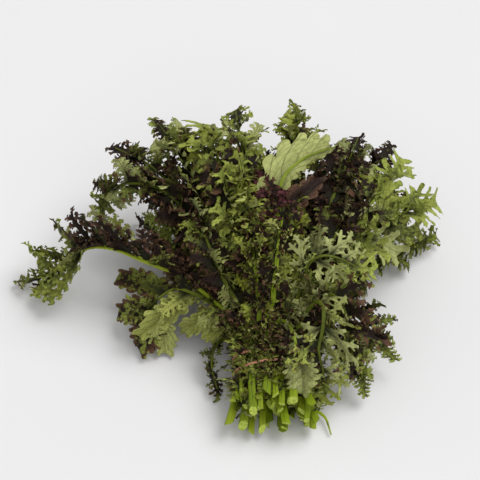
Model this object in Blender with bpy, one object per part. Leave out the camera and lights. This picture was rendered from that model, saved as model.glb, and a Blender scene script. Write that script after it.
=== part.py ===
"""A bunch of frilly mustard greens, held by a doubled rubber band and lying on a table.

The origin is on the table under the band. +Y runs along the bunch from the cut ends to the leaf
tips, +X is to the right and +Z is up. Lengths here are in millimetres, and MM makes them metres.
"""

import math
from collections import namedtuple

import bpy
import numpy as np
from mathutils.bvhtree import BVHTree

MM = 0.001
SEED = 23

# The band and the bundle of stalks inside it
BUNDLE_HALF_WIDTH = 31.5
BUNDLE_HALF_HEIGHT = 18.0
BAND_WIDTH = 2.6
BAND_THICKNESS = 1.1
BAND_TURN_SPREAD = 7.5
BAND_CROSSING_OFFSET = 0.85
BAND_STEPS = 52
BAND_PRESSED_FLAT = 0.35
TOUCH_GAP = 0.35
BAND_MIDDLE_Y = -BAND_TURN_SPREAD * math.sin(math.pi / 4)
BAND_GROWTH = TOUCH_GAP + BAND_THICKNESS / 2 + BAND_CROSSING_OFFSET
BAND_LOWEST = BAND_GROWTH + BAND_CROSSING_OFFSET * math.sin(math.pi / 4) + BAND_THICKNESS / 2
BUNDLE_Z = BUNDLE_HALF_HEIGHT + BAND_LOWEST - BAND_PRESSED_FLAT

# The stalks
TIP_RADIUS = 0.55
CUT_END_Y = -50.0
CUT_END_SCATTER = 9.0
CUT_END_FLARE = 1.22
BAND_BACK_Y = -14.0
BAND_FRONT_Y = 4.0
SAMPLES = 72
SETTLE_STEPS = 340
SMOOTHED_STEPS = 180
STALK_GAP = 0.8
PETIOLE_RINGS = 6

# The leaf blades
LOBE_LEAN = math.radians(52)
LOBE_CLEARANCE = 0.45
LOBE_CROWDING = 0.94
LOBE_THICKNESS = (0.95, 0.7)
LOBE_MIDDLE = 0.55
LOBE_TIP_WIDTH = 0.5
LOWEST_LOBE_Z = 0.4
FOLD_TRIALS = (0, 22, -22, 44, -40, 66)
LENGTH_TRIALS = (1.0, 0.78, 0.55)
TIP_TRIALS = (1.0, 0.7, 0.45, 0.2)
LOBES_END = 0.93
FIRST_LOBE_GAP = 0.05

Leaf = namedtuple("Leaf", "name route reach width pairs start roll fold stalk hold")

# Leaves with a place of their own. The route runs from beyond the band to the tip. reach and
# width are a lobe's longest length and width, start is where the lobes begin as a share of the
# route, roll turns the blade about its rib, fold lifts both sides, and hold is how firmly the
# leaf keeps its place when the stalks settle against each other.
PLACED = [
    Leaf("leaf_left_arching", [(-27, 30, 32), (-56, 56, 45), (-80, 69, 52), (-105, 75, 60),
         (-130, 86, 62), (-154, 96, 52), (-171, 95, 36), (-192, 94, 20), (-211, 95, 9)],
         30, 10, 11, 0.34, 20, 24, 3.2, 4),
    Leaf("leaf_left_broad", [(-23, 21, 26), (-39, 39, 32), (-56, 49, 40), (-75, 56, 46),
         (-91, 53, 42), (-101, 43, 30), (-105, 33, 15)],
         34, 15, 6, 0.42, 8, -14, 3.2, 4),
    Leaf("leaf_upper_left", [(-31, 50, 40), (-56, 90, 62), (-81, 124, 80), (-102, 135, 86),
         (-124, 139, 84), (-140, 144, 70), (-148, 139, 55)],
         27, 12, 8, 0.42, -12, 18, 3.1, 4),
    Leaf("leaf_upper_left_fingers", [(-39, 80, 55), (-73, 129, 75), (-104, 166, 80),
         (-137, 196, 72)],
         26, 10, 8, 0.4, 10, 14, 3.0, 3),
    Leaf("leaf_right_spread", [(18, 46, 45), (42, 72, 62), (63, 90, 68), (86, 110, 66),
         (112, 133, 56), (136, 152, 46)],
         36, 13, 8, 0.36, 6, 10, 3.2, 4),
    Leaf("leaf_right_raised", [(22, 52, 50), (51, 85, 68), (74, 112, 75), (96, 144, 72),
         (114, 181, 62)],
         30, 11, 8, 0.4, -14, 14, 3.1, 3),
    Leaf("leaf_top_pale", [(3, 37, 55), (5, 75, 85), (6, 103, 102), (9, 122, 109), (27, 144, 110),
         (54, 170, 98)],
         30, 15, 6, 0.6, -10, -8, 2.9, 4),
    Leaf("leaf_top_curled", [(-5, 44, 60), (-4, 80, 85), (-3, 105, 100), (-6, 113, 108),
         (-12, 119, 108)],
         17, 8, 6, 0.62, 0, 40, 2.5, 3),
    Leaf("leaf_top_purple", [(9, 45, 58), (13, 81, 84), (15, 101, 98), (30, 116, 100),
         (44, 135, 95)],
         24, 11, 6, 0.56, 12, 16, 2.8, 3),
    Leaf("leaf_top_yellow", [(-9, 42, 62), (-15, 83, 88), (-21, 103, 102), (-25, 120, 108),
         (-27, 141, 108)],
         18, 8, 7, 0.5, -12, 12, 2.6, 3),
    Leaf("leaf_front", [(-2, 18, 44), (1, 36, 64), (3, 56, 80), (4, 74, 89), (8, 95, 97)],
         20, 9, 7, 0.36, 0, 18, 3.0, 4),
    Leaf("leaf_front_left", [(-10, 21, 50), (-13, 47, 68), (-16, 67, 82), (-15, 88, 92)],
         22, 9, 7, 0.34, -16, 22, 2.9, 3),
    Leaf("leaf_middle_pale", [(14, 23, 48), (21, 42, 62), (27, 56, 76), (38, 59, 84),
         (52, 58, 82), (71, 56, 70)],
         28, 12, 7, 0.44, -6, -6, 3.0, 4),
    Leaf("leaf_hanging_inner", [(19, 15, 45), (30, 28, 60), (37, 27, 66), (38, 8, 60),
         (34, -8, 50), (38, -23, 38), (39, -32, 27)],
         27, 12, 8, 0.42, 8, -20, 3.0, 4),
    Leaf("leaf_hanging_outer", [(22, 21, 48), (38, 36, 62), (49, 31, 66), (57, 14, 60),
         (60, -3, 50), (60, -16, 40)],
         24, 11, 7, 0.44, 14, -16, 2.9, 3),
    Leaf("leaf_right_low", [(25, 25, 38), (45, 33, 48), (62, 29, 50), (77, 19, 40), (90, 9, 24)],
         24, 9, 8, 0.38, 6, 8, 2.9, 3),
    Leaf("leaf_right_lowest", [(25, 14, 32), (44, 16, 38), (58, 6, 36), (67, -6, 28),
         (70, -18, 15)],
         20, 8, 7, 0.38, 10, 6, 2.8, 3),
    Leaf("leaf_left_tuft", [(-28, 16, 24), (-37, 22, 26), (-46, 15, 22), (-49, 0, 16),
         (-45, -17, 10)],
         16, 7, 7, 0.34, -10, 4, 2.4, 3),
    Leaf("leaf_folded_pale", [(-1, 15, 41), (4, 20, 49), (12, 14, 54), (17, -4, 52),
         (22, -23, 45), (25, -38, 36)],
         17, 11, 3, 0.66, 0, -26, 2.2, 5),
    Leaf("leaf_top_fingers", [(-12, 48, 55), (-27, 89, 82), (-39, 130, 98), (-48, 162, 102),
         (-59, 199, 98)],
         30, 12, 7, 0.5, 8, 8, 3.1, 3),
    Leaf("leaf_top_fingers_right", [(-8, 45, 58), (-15, 94, 88), (-22, 138, 102),
         (-27, 180, 102), (-31, 219, 96)],
         28, 12, 8, 0.46, -8, 10, 3.1, 3),
    Leaf("leaf_left_upright", [(-23, 25, 45), (-42, 58, 62), (-54, 85, 74), (-62, 113, 80),
         (-64, 130, 82)],
         20, 10, 7, 0.38, 16, 20, 2.9, 3),
    Leaf("leaf_top_spiky", [(8, 52, 62), (14, 102, 92), (18, 154, 98), (21, 197, 92),
         (24, 238, 84)],
         17, 8, 8, 0.5, 0, 10, 2.6, 3),
    Leaf("leaf_top_right", [(18, 62, 50), (44, 112, 75), (63, 160, 80), (78, 209, 72)],
         26, 10, 8, 0.42, 0, 16, 3.0, 2),
    Leaf("leaf_top_right_outer", [(22, 60, 46), (52, 110, 65), (80, 158, 68), (104, 205, 58)],
         26, 10, 8, 0.42, 12, 12, 3.0, 2),
    Leaf("leaf_top_left", [(-23, 57, 50), (-50, 109, 78), (-74, 164, 90), (-98, 210, 86)],
         27, 11, 7, 0.44, -8, 14, 3.0, 2),
    Leaf("leaf_centre_right", [(20, 41, 50), (39, 63, 70), (57, 105, 82), (66, 145, 80)],
         24, 11, 6, 0.42, 10, 14, 2.8, 2),
    Leaf("leaf_left_inner", [(-25, 39, 34), (-52, 78, 52), (-76, 107, 62), (-98, 122, 60)],
         24, 11, 6, 0.42, 6, 12, 2.8, 2),
]

# The tiers that fill the bunch behind them: count, heading of the first and last leaf in degrees
# from +Y, length beyond the band, height half way, height at the tip, lobe pairs.
TIERS = [
    (6, -44, 50, 196, 12, 8, 6),
    (6, -40, 42, 204, 42, 38, 7),
    (4, -24, 26, 200, 72, 70, 7),
]
TIER_SHARES = (0.22, 0.5, 0.78, 1.0)
TIER_LOBE_REACH = 27
TIER_LOBE_WIDTH = 10.5

# The leaves that show mostly green or pale. All others are dark purple.
GREEN_LEAVES = (
    "leaf_left_arching",
    "leaf_left_broad",
    "leaf_upper_left",
    "leaf_right_spread",
    "leaf_top_pale",
    "leaf_top_yellow",
    "leaf_front",
    "leaf_middle_pale",
    "leaf_hanging_inner",
    "leaf_right_low",
    "leaf_folded_pale",
    "leaf_top_fingers",
    "leaf_top_spiky",
    "leaf_centre_right",
    "leaf_tier_1_1",
    "leaf_tier_1_4",
    "leaf_tier_2_2",
    "leaf_tier_2_5",
    "leaf_tier_3_3",
)


def tier_leaves():
    """The filling leaves, spread over each tier's headings."""
    leaves = []
    for tier, (count, first, last, length, middle_z, tip_z, pairs) in enumerate(TIERS):
        for place in range(count):
            draw = np.random.default_rng([SEED, tier, place])
            spread = first + (last - first) * (place + 0.5) / count
            heading = math.radians(spread + draw.uniform(-3, 3))
            long = length * draw.uniform(0.9, 1.08)
            heights = (
                BUNDLE_Z + 0.6 * (middle_z - BUNDLE_Z),
                middle_z,
                0.5 * (middle_z + tip_z) + 4,
                tip_z,
            )
            route = []
            for share, height in zip(TIER_SHARES, heights):
                turned = heading * (0.55 + 0.45 * share)
                route.append((share * long * math.sin(turned), share * long * math.cos(turned), height))
            roll = draw.uniform(-35, 35)
            fold = draw.uniform(4, 26)
            name = f"leaf_tier_{tier + 1}_{place + 1}"
            leaves.append(
                Leaf(name, route, TIER_LOBE_REACH, TIER_LOBE_WIDTH, pairs, 0.4, roll, fold, 3.0, 1)
            )
    return leaves


def unit(vectors):
    """The vectors at length 1, along the last axis."""
    vectors = np.asarray(vectors, float)
    return vectors / np.maximum(np.linalg.norm(vectors, axis=-1, keepdims=True), 1e-9)


def even_curve(points, count):
    """A Catmull-Rom curve through the points, sampled at even spacing."""
    points = np.asarray(points, float)
    ends = np.vstack([2 * points[0] - points[1], points, 2 * points[-1] - points[-2]])
    share = np.linspace(0, 1, 12, endpoint=False)[:, None]
    dense = []
    for before, start, end, after in zip(ends, ends[1:], ends[2:], ends[3:]):
        dense.append(
            0.5
            * (
                2 * start
                + (end - before) * share
                + (2 * before - 5 * start + 4 * end - after) * share**2
                + (3 * start - before - 3 * end + after) * share**3
            )
        )
    dense = np.vstack([*dense, points[-1:]])
    along = np.concatenate([[0], np.cumsum(np.linalg.norm(np.diff(dense, axis=0), axis=1))])
    wanted = np.linspace(0, along[-1], count)
    return np.stack([np.interp(wanted, along, dense[:, axis]) for axis in range(3)], axis=1)


def stalk_radius(leaf, share):
    """The stalk and rib's radius at a share of its length."""
    return leaf.stalk + (TIP_RADIUS - leaf.stalk) * share**1.3


def bundle_slots(leaves):
    """Where each stalk passes through the band: the steepest leaves on top and each on the side
    that it leaves by, packed without overlap."""
    first = np.array([leaf.route[0] for leaf in leaves])
    heading = np.arctan2(first[:, 0], first[:, 1])
    steepness = np.arctan2(first[:, 2] - BUNDLE_Z, np.hypot(first[:, 0], first[:, 1]))
    limits = np.array([BUNDLE_HALF_WIDTH, BUNDLE_HALF_HEIGHT])
    ranks = np.stack([heading, steepness], axis=1).argsort(axis=0).argsort(axis=0)
    slots = 0.8 * limits * (2 * ranks / (len(leaves) - 1) - 1)
    radii = np.array([stalk_radius(leaf, 0.2) for leaf in leaves]) + STALK_GAP / 2
    for _ in range(600):
        apart = slots[:, None] - slots[None]
        distance = np.linalg.norm(apart, axis=2) + np.eye(len(slots)) * 1e3
        short = np.maximum(radii[:, None] + radii[None] - distance, 0)
        slots += 0.35 * (unit(apart) * short[..., None]).sum(axis=1)
        room = limits - radii[:, None]
        outside = np.maximum(np.linalg.norm(slots / room, axis=1), 1)
        slots /= outside[:, None]
    return slots


def stalk_chain(leaf, slot, place):
    """One leaf's centre line, from its cut end through the band to its tip: the middle of each
    ring, and the ring's share of the whole length."""
    draw = np.random.default_rng([SEED, 100 + place])
    x, z = slot
    end_y = CUT_END_Y + draw.uniform(-CUT_END_SCATTER, CUT_END_SCATTER)
    end = (x * CUT_END_FLARE, end_y, BUNDLE_Z + z * CUT_END_FLARE - 2)
    back = (x, BAND_BACK_Y, BUNDLE_Z + z)
    front = (x, BAND_FRONT_Y, BUNDLE_Z + z)
    curve = even_curve([end, back, front, *leaf.route], SAMPLES)
    all_shares = np.linspace(0, 1, SAMPLES)
    back_share = all_shares[np.flatnonzero(curve[:, 1] > BAND_BACK_Y)[0] - 1]
    front_share = all_shares[np.flatnonzero(curve[:, 1] > BAND_FRONT_Y)[0]]
    lobes_start = max(leaf.start, front_share + FIRST_LOBE_GAP)
    shares = np.concatenate(
        [
            [0, back_share],
            np.linspace(front_share, lobes_start, PETIOLE_RINGS - 2, endpoint=False),
            np.linspace(lobes_start, LOBES_END, leaf.pairs + 1),
            [0.97, 1.0],
        ]
    )
    chain = np.stack([np.interp(shares, all_shares, curve[:, axis]) for axis in range(3)], axis=1)
    return chain, shares


def nearest_shares(start, along, other_start, other_along):
    """Where pairs of straight pieces come nearest each other, as a share of each piece."""
    between = start - other_start
    square, other_square = (along**2).sum(axis=1), (other_along**2).sum(axis=1)
    shared = (along * other_along).sum(axis=1)
    on_first, on_second = (along * between).sum(axis=1), (other_along * between).sum(axis=1)
    spread = np.maximum(square * other_square - shared**2, 1e-6)
    share = np.clip((shared * on_second - on_first * other_square) / spread, 0, 1)
    other_share = np.clip((shared * share + on_second) / other_square, 0, 1)
    share = np.clip((shared * other_share - on_first) / square, 0, 1)
    return share[:, None], other_share[:, None]


def settle(leaves, chains, shares):
    """Pushes stalks that touch apart, and keeps them inside the band and above the table."""
    count = [len(chain) for chain in chains]
    points = np.concatenate(chains)
    routes = points.copy()
    radii = np.concatenate([stalk_radius(leaf, share) for leaf, share in zip(leaves, shares)])
    yields = np.repeat([1 / leaf.hold for leaf in leaves], count)
    owner = np.repeat(np.arange(len(leaves)), count)
    tails = np.flatnonzero(owner[:-1] == owner[1:])
    heads = np.cumsum([0, *count[:-1]])
    in_band = np.concatenate([heads + 1, heads + 2])
    upper, lower = np.triu_indices(len(tails), 1)
    apart_leaves = owner[tails[upper]] != owner[tails[lower]]
    upper, lower = tails[upper[apart_leaves]], tails[lower[apart_leaves]]
    for step in range(SETTLE_STEPS):
        along = points[1:] - points[:-1]
        middle = points[:-1] + along / 2
        half = np.linalg.norm(along, axis=1) / 2
        reach = half[upper] + half[lower] + radii[upper] + radii[lower] + STALK_GAP
        near = ((middle[upper] - middle[lower]) ** 2).sum(axis=1) < reach**2
        one, two = upper[near], lower[near]
        share, other = nearest_shares(points[one], along[one], points[two], along[two])
        apart = points[one] + along[one] * share - points[two] - along[two] * other
        wanted = (
            radii[one] * (1 - share[:, 0]) + radii[one + 1] * share[:, 0]
            + radii[two] * (1 - other[:, 0]) + radii[two + 1] * other[:, 0]
            + STALK_GAP
        )
        short = wanted - np.linalg.norm(apart, axis=1)
        hit = short > 0
        one, two, share, other = one[hit], two[hit], share[hit], other[hit]
        push = unit(apart[hit]) * short[hit][:, None]
        give = yields[one][:, None] * ((1 - share) ** 2 + share**2)
        give += yields[two][:, None] * ((1 - other) ** 2 + other**2)
        moved = np.zeros_like(points)
        weight = np.zeros((len(points), 1))
        for place, part, sign in (
            (one, 1 - share, 1), (one + 1, share, 1), (two, 1 - other, -1), (two + 1, other, -1),
        ):
            np.add.at(moved, place, sign * push * part * yields[place][:, None] / give)
            np.add.at(weight, place, part)
        points += 1.2 * moved / np.maximum(weight, 1)
        if step < SMOOTHED_STEPS:
            strayed = points - routes
            eased = (strayed[:-2] + 2 * strayed[1:-1] + strayed[2:]) / 4
            inner = (owner[:-2] == owner[2:])[:, None]
            points[1:-1] += np.where(inner, 0.35 * (eased - strayed[1:-1]), 0)
        room_x = BUNDLE_HALF_WIDTH - radii[in_band]
        room_z = BUNDLE_HALF_HEIGHT - radii[in_band]
        high = points[in_band, 2] - BUNDLE_Z
        outside = np.maximum(np.hypot(points[in_band, 0] / room_x, high / room_z), 1)
        points[in_band, 0] /= outside
        points[in_band, 2] = BUNDLE_Z + high / outside
        points[in_band, 1] = routes[in_band, 1]
        points[:, 2] = np.maximum(points[:, 2], radii + 0.05)
    return np.split(points, np.cumsum(count)[:-1])


def rib_frames(chain, roll):
    """Tangent, side and face direction at each ring, the face turned up and to the front."""
    steps = unit(np.diff(chain, axis=0))
    tangent = unit(np.vstack([steps[:1], steps[:-1] + steps[1:], steps[-1:]]))
    up = np.array([0, -0.55, 0.83])
    face = unit(up - (tangent @ up)[:, None] * tangent)
    side = np.cross(tangent, face)
    turn = math.radians(roll)
    turned_side = side * math.cos(turn) - face * math.sin(turn)
    turned_face = face * math.cos(turn) + side * math.sin(turn)
    return tangent, turned_side, turned_face


class Rib:
    """The stalk and midrib of one leaf as rings of points, and the places its lobes grow from."""

    def __init__(self, leaf, chain, shares):
        self.leaf = leaf
        self.shares = shares
        self.middles = chain
        self.tangents, self.sides, self.faces = rib_frames(chain, leaf.roll)
        self.rings = []
        for step, share in enumerate(shares):
            radius = stalk_radius(leaf, share)
            self.rings.append(self.ring(step, radius * 0.9, radius * 0.95))
        self.set_tip(TIP_TRIALS[-1])

    def ring(self, step, half_width, half_height):
        """A six-sided ring with upright left and right sides."""
        outline = ((1, 0.5), (0, 1), (-1, 0.5), (-1, -0.5), (0, -1), (1, -0.5))
        wide, high = self.sides[step] * half_width, self.faces[step] * half_height
        return [self.middles[step] + wide * x + high * y for x, y in outline]

    def set_tip(self, share):
        """Widens the last two rings into the leaf's end lobe, as a share of its full width."""
        last = len(self.rings) - 1
        width = self.leaf.width * share
        self.rings[last - 1] = self.ring(last - 1, max(width * 0.42, TIP_RADIUS), 0.5)
        self.rings[last] = self.ring(last, max(width * 0.16, TIP_RADIUS), 0.42)

    def lobe_size(self, pair):
        """A lobe's share of the leaf's longest lobe: small near the stalk, largest past half way."""
        place = (pair + 0.5) / self.leaf.pairs
        rise = min(1, 0.34 + 1.0 * place)
        fall = 1 - 0.5 * max(0, place - 0.72) / 0.28
        return rise * fall

    def root(self, pair, right):
        """The four root corners of a lobe: upper back, upper front, lower front, lower back."""
        back, front = self.rings[PETIOLE_RINGS + pair : PETIOLE_RINGS + pair + 2]
        high, low = (0, 5) if right else (2, 3)
        return [back[high], front[high], front[low], back[low]]

    def lobe(self, pair, right, fold, length, grow=0.0):
        """The sections of a lobe at a fold angle and a length share. grow thickens a trial copy."""
        corners = self.root(pair, right)
        here = slice(PETIOLE_RINGS + pair, PETIOLE_RINGS + pair + 2)
        tangent, side, face = (
            unit(rows[here].sum(axis=0)) for rows in (self.tangents, self.sides, self.faces)
        )
        outward = side if right else -side
        size = self.lobe_size(pair)
        reach = self.leaf.reach * size * length
        room = np.linalg.norm(corners[1] - corners[0]) * math.sin(LOBE_LEAN)
        half = max(min(self.leaf.width * (0.45 + 0.55 * size), room * LOBE_CROWDING), 3.0) / 2
        stretches = (
            (LOBE_MIDDLE, half, LOBE_THICKNESS[0]),
            (1.0, half * LOBE_TIP_WIDTH, LOBE_THICKNESS[1]),
        )
        sections = [corners]
        centre = sum(corners) / 4
        before = 0.0
        for step, (share, half_width, thickness) in enumerate(stretches):
            angle = math.radians(fold - 14 * step)
            across = outward * math.cos(angle) + face * math.sin(angle)
            lean = LOBE_LEAN - math.radians(12) * step
            heading = tangent * math.cos(lean) + across * math.sin(lean)
            normal = unit(np.cross(tangent, across))
            if normal @ face < 0:
                normal = -normal
            width = unit(np.cross(normal, heading))
            if width @ tangent < 0:
                width = -width
            centre = centre + heading * reach * (share - before)
            before = share
            thick = (thickness / 2 + grow) * normal
            wide = (half_width + grow) * width
            rear, fore = centre - wide, centre + wide
            sections.append([rear + thick, fore + thick, fore - thick, rear - thick])
        if grow:
            sections[2] = [corner + heading * grow for corner in sections[2]]
        return sections


def wall(near, far):
    """The triangles between two rows of corners. A lobe's lower face is split as its upper one."""
    faces = []
    for corner in range(len(near)):
        after = (corner + 1) % len(near)
        if len(near) == 4 and corner == 2:
            faces.append((near[after], far[corner], near[corner]))
            faces.append((near[after], far[after], far[corner]))
        else:
            faces.append((near[corner], near[after], far[after]))
            faces.append((near[corner], far[after], far[corner]))
    return faces


def shape_of(rows):
    """The closed shape that rows of points span, as a search tree with the corners of its box."""
    points = np.concatenate(rows)
    around = len(rows[0])
    faces = [tuple(range(around)), tuple(range(len(points) - around, len(points)))]
    for base in range(0, len(points) - around, around):
        faces += wall(range(base, base + around), range(base + around, base + 2 * around))
    tree = BVHTree.FromPolygons([tuple(point) for point in points], faces)
    return tree, points.min(axis=0), points.max(axis=0)


def partly_out(sections, share):
    """A lobe without the first share of its way out, where it grows from its own rib."""
    root = [near * (1 - share) + far * share for near, far in zip(sections[0], sections[1])]
    return [root, *sections[1:]]


def meets(shape, others):
    """True if a shape's surface crosses the surface of any of the others."""
    tree, low, high = shape
    if not others:
        return False
    lows = np.array([other[1] for other in others])
    highs = np.array([other[2] for other in others])
    close = np.flatnonzero(((lows <= high) & (highs >= low)).all(axis=1))
    return any(tree.overlap(others[place][0]) for place in close)


def widen_tips(ribs, band):
    """Gives each leaf the widest end lobe that touches no other stalk."""
    shapes = [shape_of(rib.rings) for rib in ribs]
    for index, rib in enumerate(ribs):
        others = [shape for place, shape in enumerate(shapes) if place != index] + [band]
        for share in TIP_TRIALS:
            rib.set_tip(share)
            shapes[index] = shape_of(rib.rings)
            if not meets(shapes[index], others):
                break
    return shapes


def crosses_itself(points, faces):
    """True if two triangles of a mesh that share no corner cross each other."""
    tree = BVHTree.FromPolygons([tuple(point) for point in points], faces)
    return any(set(faces[one]).isdisjoint(faces[two]) for one, two in tree.overlap(tree))


def grow_lobes(ribs, band):
    """Chooses each lobe's fold and length so that it lies clear of everything placed before it."""
    rib_shapes = widen_tips(ribs, band)
    standing = []
    chosen = []
    for index, rib in enumerate(ribs):
        others = [shape for place, shape in enumerate(rib_shapes) if place != index]
        others = [*others, band, *standing]
        own, lobes = [], {}
        for pair in reversed(range(rib.leaf.pairs)):
            for right in (True, False):
                draw = np.random.default_rng([SEED, 200 + index, pair, int(right)])
                wave = draw.uniform(-14, 14) + (11 if pair % 2 else -11)
                whole = trial_lobe(rib, lobes, (pair, right), wave, others, own)
                if whole:
                    standing.append(whole)
        chosen.append(lobes)
    return chosen


def trial_lobe(rib, lobes, place, wave, others, own):
    """Adds a lobe to the leaf at the first trial that touches nothing, and returns its swollen
    shape. Without such a trial the leaf goes without this lobe."""
    for length in LENGTH_TRIALS:
        for trial in FOLD_TRIALS:
            fold = rib.leaf.fold + wave + trial
            swollen = rib.lobe(*place, fold, length, LOBE_CLEARANCE)
            whole = shape_of(swollen)
            if whole[1][2] < LOWEST_LOBE_Z or meets(whole, others):
                continue
            outer = shape_of(partly_out(swollen, 0.35))
            if meets(outer, own):
                continue
            lobes[place] = rib.lobe(*place, fold, length)
            if crosses_itself(*leaf_mesh(rib, lobes)):
                del lobes[place]
                continue
            own.append(outer)
            return whole
    return None


def leaf_mesh(rib, lobes):
    """The leaf's points and triangles, the two faces of each blade split alike."""
    points = [point for row in rib.rings for point in row]
    faces = []
    last = len(rib.rings) - 1
    for step in range(last):
        near = range(6 * step, 6 * step + 6)
        pieces = wall(near, range(6 * step + 6, 6 * step + 12))
        for right, corner in ((True, 5), (False, 2)):
            lobe = lobes.get((step - PETIOLE_RINGS, right))
            if lobe:
                pieces[2 * corner : 2 * corner + 2] = [None, None]
                add_lobe(points, faces, near[0], right, lobe)
        faces += [piece[::-1] for piece in pieces if piece]
    for corner in range(1, 5):
        faces.append((0, corner, corner + 1))
        faces.append((6 * last, 6 * last + corner + 1, 6 * last + corner))
    return points, faces


def add_lobe(points, faces, base, right, sections):
    """Joins a lobe's sections to the four rib points that it grows from."""
    high, low = (0, 5) if right else (2, 3)
    near = [base + high, base + 6 + high, base + 6 + low, base + low]
    made = []
    for section in sections[1:]:
        far = range(len(points), len(points) + 4)
        points.extend(section)
        made += wall(near, far)
        near = far
    made.append((near[0], near[1], near[2]))
    made.append((near[0], near[2], near[3]))
    faces.extend([face[::-1] for face in made] if right else made)


def band_sections():
    """The doubled band's sections: two turns that spread on the left and cross on the right."""
    across, upright = BUNDLE_HALF_WIDTH + BAND_GROWTH, BUNDLE_HALF_HEIGHT + BAND_GROWTH
    sections = []
    for step in range(BAND_STEPS):
        turn = 4 * math.pi * step / BAND_STEPS
        out = unit([math.cos(turn) / across, 0, math.sin(turn) / upright])
        centre = np.array([across * math.cos(turn), 0, BUNDLE_Z + upright * math.sin(turn)])
        centre += out * BAND_CROSSING_OFFSET * math.cos(turn / 2)
        centre[1] = BAND_MIDDLE_Y - BAND_TURN_SPREAD * math.sin(turn / 2)
        wide = np.array([0, BAND_WIDTH / 2, 0])
        thick = out * BAND_THICKNESS / 2
        rear, fore = centre - wide, centre + wide
        section = np.array([rear + thick, fore + thick, fore - thick, rear - thick])
        section[:, 2] = np.maximum(section[:, 2], 0)
        sections.append(section)
    return sections


def band_mesh(sections):
    points = [p for section in sections for p in section]
    faces = []
    total = len(points)
    for step in range(len(sections)):
        base = 4 * step
        for corner in range(4):
            after = (corner + 1) % 4
            near, side = base + corner, base + after
            far, far_side = (near + 4) % total, (side + 4) % total
            faces.append((near, side, far_side))
            faces.append((near, far_side, far))
    return points, faces


def material(name, colour, roughness):
    made = bpy.data.materials.new(name)
    made.use_nodes = True
    shader = made.node_tree.nodes["Principled BSDF"]
    shader.inputs["Base Color"].default_value = (*colour, 1)
    shader.inputs["Roughness"].default_value = roughness
    shader.inputs["Metallic"].default_value = 0
    return made


def add_object(name, points, faces, finish):
    """A mesh object in metres, its faces turned outwards."""
    mesh = bpy.data.meshes.new(name)
    mesh.from_pydata([tuple(p * MM) for p in points], [], faces)
    mesh.validate()
    if signed_volume(points, faces) < 0:
        mesh.flip_normals()
    made = bpy.data.objects.new(name, mesh)
    bpy.context.scene.collection.objects.link(made)
    mesh.materials.append(finish)
    return made


def signed_volume(points, faces):
    corners = np.array(points)[np.array(faces)]
    return np.linalg.det(corners).sum() / 6


def build():
    for old in list(bpy.data.objects):
        bpy.data.objects.remove(old)
    leaves = [*PLACED, *tier_leaves()]
    slots = bundle_slots(leaves)
    chains, shares = [], []
    for place, (leaf, slot) in enumerate(zip(leaves, slots)):
        chain, ring_shares = stalk_chain(leaf, slot, place)
        chains.append(chain)
        shares.append(ring_shares)
    chains = settle(leaves, chains, shares)
    ribs = [Rib(*parts) for parts in zip(leaves, chains, shares)]
    points, faces = band_mesh(band_sections())
    band_tree = BVHTree.FromPolygons([tuple(point) for point in points], faces)
    band = (band_tree, np.min(points, axis=0), np.max(points, axis=0))
    green = material("leaf_green", (0.10, 0.14, 0.04), 0.6)
    dark = material("leaf_purple", (0.06, 0.035, 0.03), 0.6)
    rubber = material("band_rubber", (0.62, 0.33, 0.22), 0.7)
    add_object("band", points, faces, rubber)
    for rib, lobes in zip(ribs, grow_lobes(ribs, band)):
        points, faces = leaf_mesh(rib, lobes)
        add_object(rib.leaf.name, points, faces, green if rib.leaf.name in GREEN_LEAVES else dark)


build()
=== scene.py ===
# %% [markdown]
# # A bunch of frilly mustard greens
#
# Forty-four leaves lie on a table with their cut stalks together, held by a rubber band that goes
# round them twice. The plain solids of the frame say where every stalk and every lobe lies. This
# script gives each leaf its cut and ruffled blades, its grooved stalk and its colours.

# %% Load the fixed frame
import math
from collections import namedtuple

import bmesh
import bpy
import numpy as np
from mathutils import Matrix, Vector


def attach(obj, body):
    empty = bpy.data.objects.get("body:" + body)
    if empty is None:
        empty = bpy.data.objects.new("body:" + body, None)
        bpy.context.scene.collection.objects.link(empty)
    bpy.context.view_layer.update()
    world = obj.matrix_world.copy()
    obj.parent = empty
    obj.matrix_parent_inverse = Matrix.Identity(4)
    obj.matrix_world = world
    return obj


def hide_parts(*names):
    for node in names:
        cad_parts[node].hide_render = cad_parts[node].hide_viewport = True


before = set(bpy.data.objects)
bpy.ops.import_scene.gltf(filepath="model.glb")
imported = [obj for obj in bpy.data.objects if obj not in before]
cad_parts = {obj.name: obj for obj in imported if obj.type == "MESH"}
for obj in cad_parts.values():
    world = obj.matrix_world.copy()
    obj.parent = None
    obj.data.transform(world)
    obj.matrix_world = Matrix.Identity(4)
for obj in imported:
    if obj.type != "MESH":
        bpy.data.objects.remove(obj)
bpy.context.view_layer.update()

MM = 0.001
bpy.ops.object.select_all(action="DESELECT")
print("frame:", len(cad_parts), "nodes")

# %% [markdown]
# ## The camera
#
# The photo looks down on the bunch from the side of the cut ends. A long lens from about a metre
# away keeps the leaves at the back nearly as large as those in front, as the photo does.

# %% Camera
CAMERA_AIM = Vector((-27, 111, 45)) * MM
CAMERA_DISTANCE = 963 * MM
CAMERA_ELEVATION = math.radians(48)
CAMERA_LENS = 85
CAMERA_SENSOR = 36

away = Vector((0, -math.cos(CAMERA_ELEVATION), math.sin(CAMERA_ELEVATION)))
bpy.ops.object.camera_add(
    location=CAMERA_AIM + away * CAMERA_DISTANCE,
    rotation=(math.pi / 2 - CAMERA_ELEVATION, 0, 0),
)
camera = bpy.context.object
camera.data.lens = CAMERA_LENS
camera.data.sensor_width = CAMERA_SENSOR
bpy.context.scene.camera = camera
print("camera at", [round(c, 3) for c in camera.location])

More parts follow.
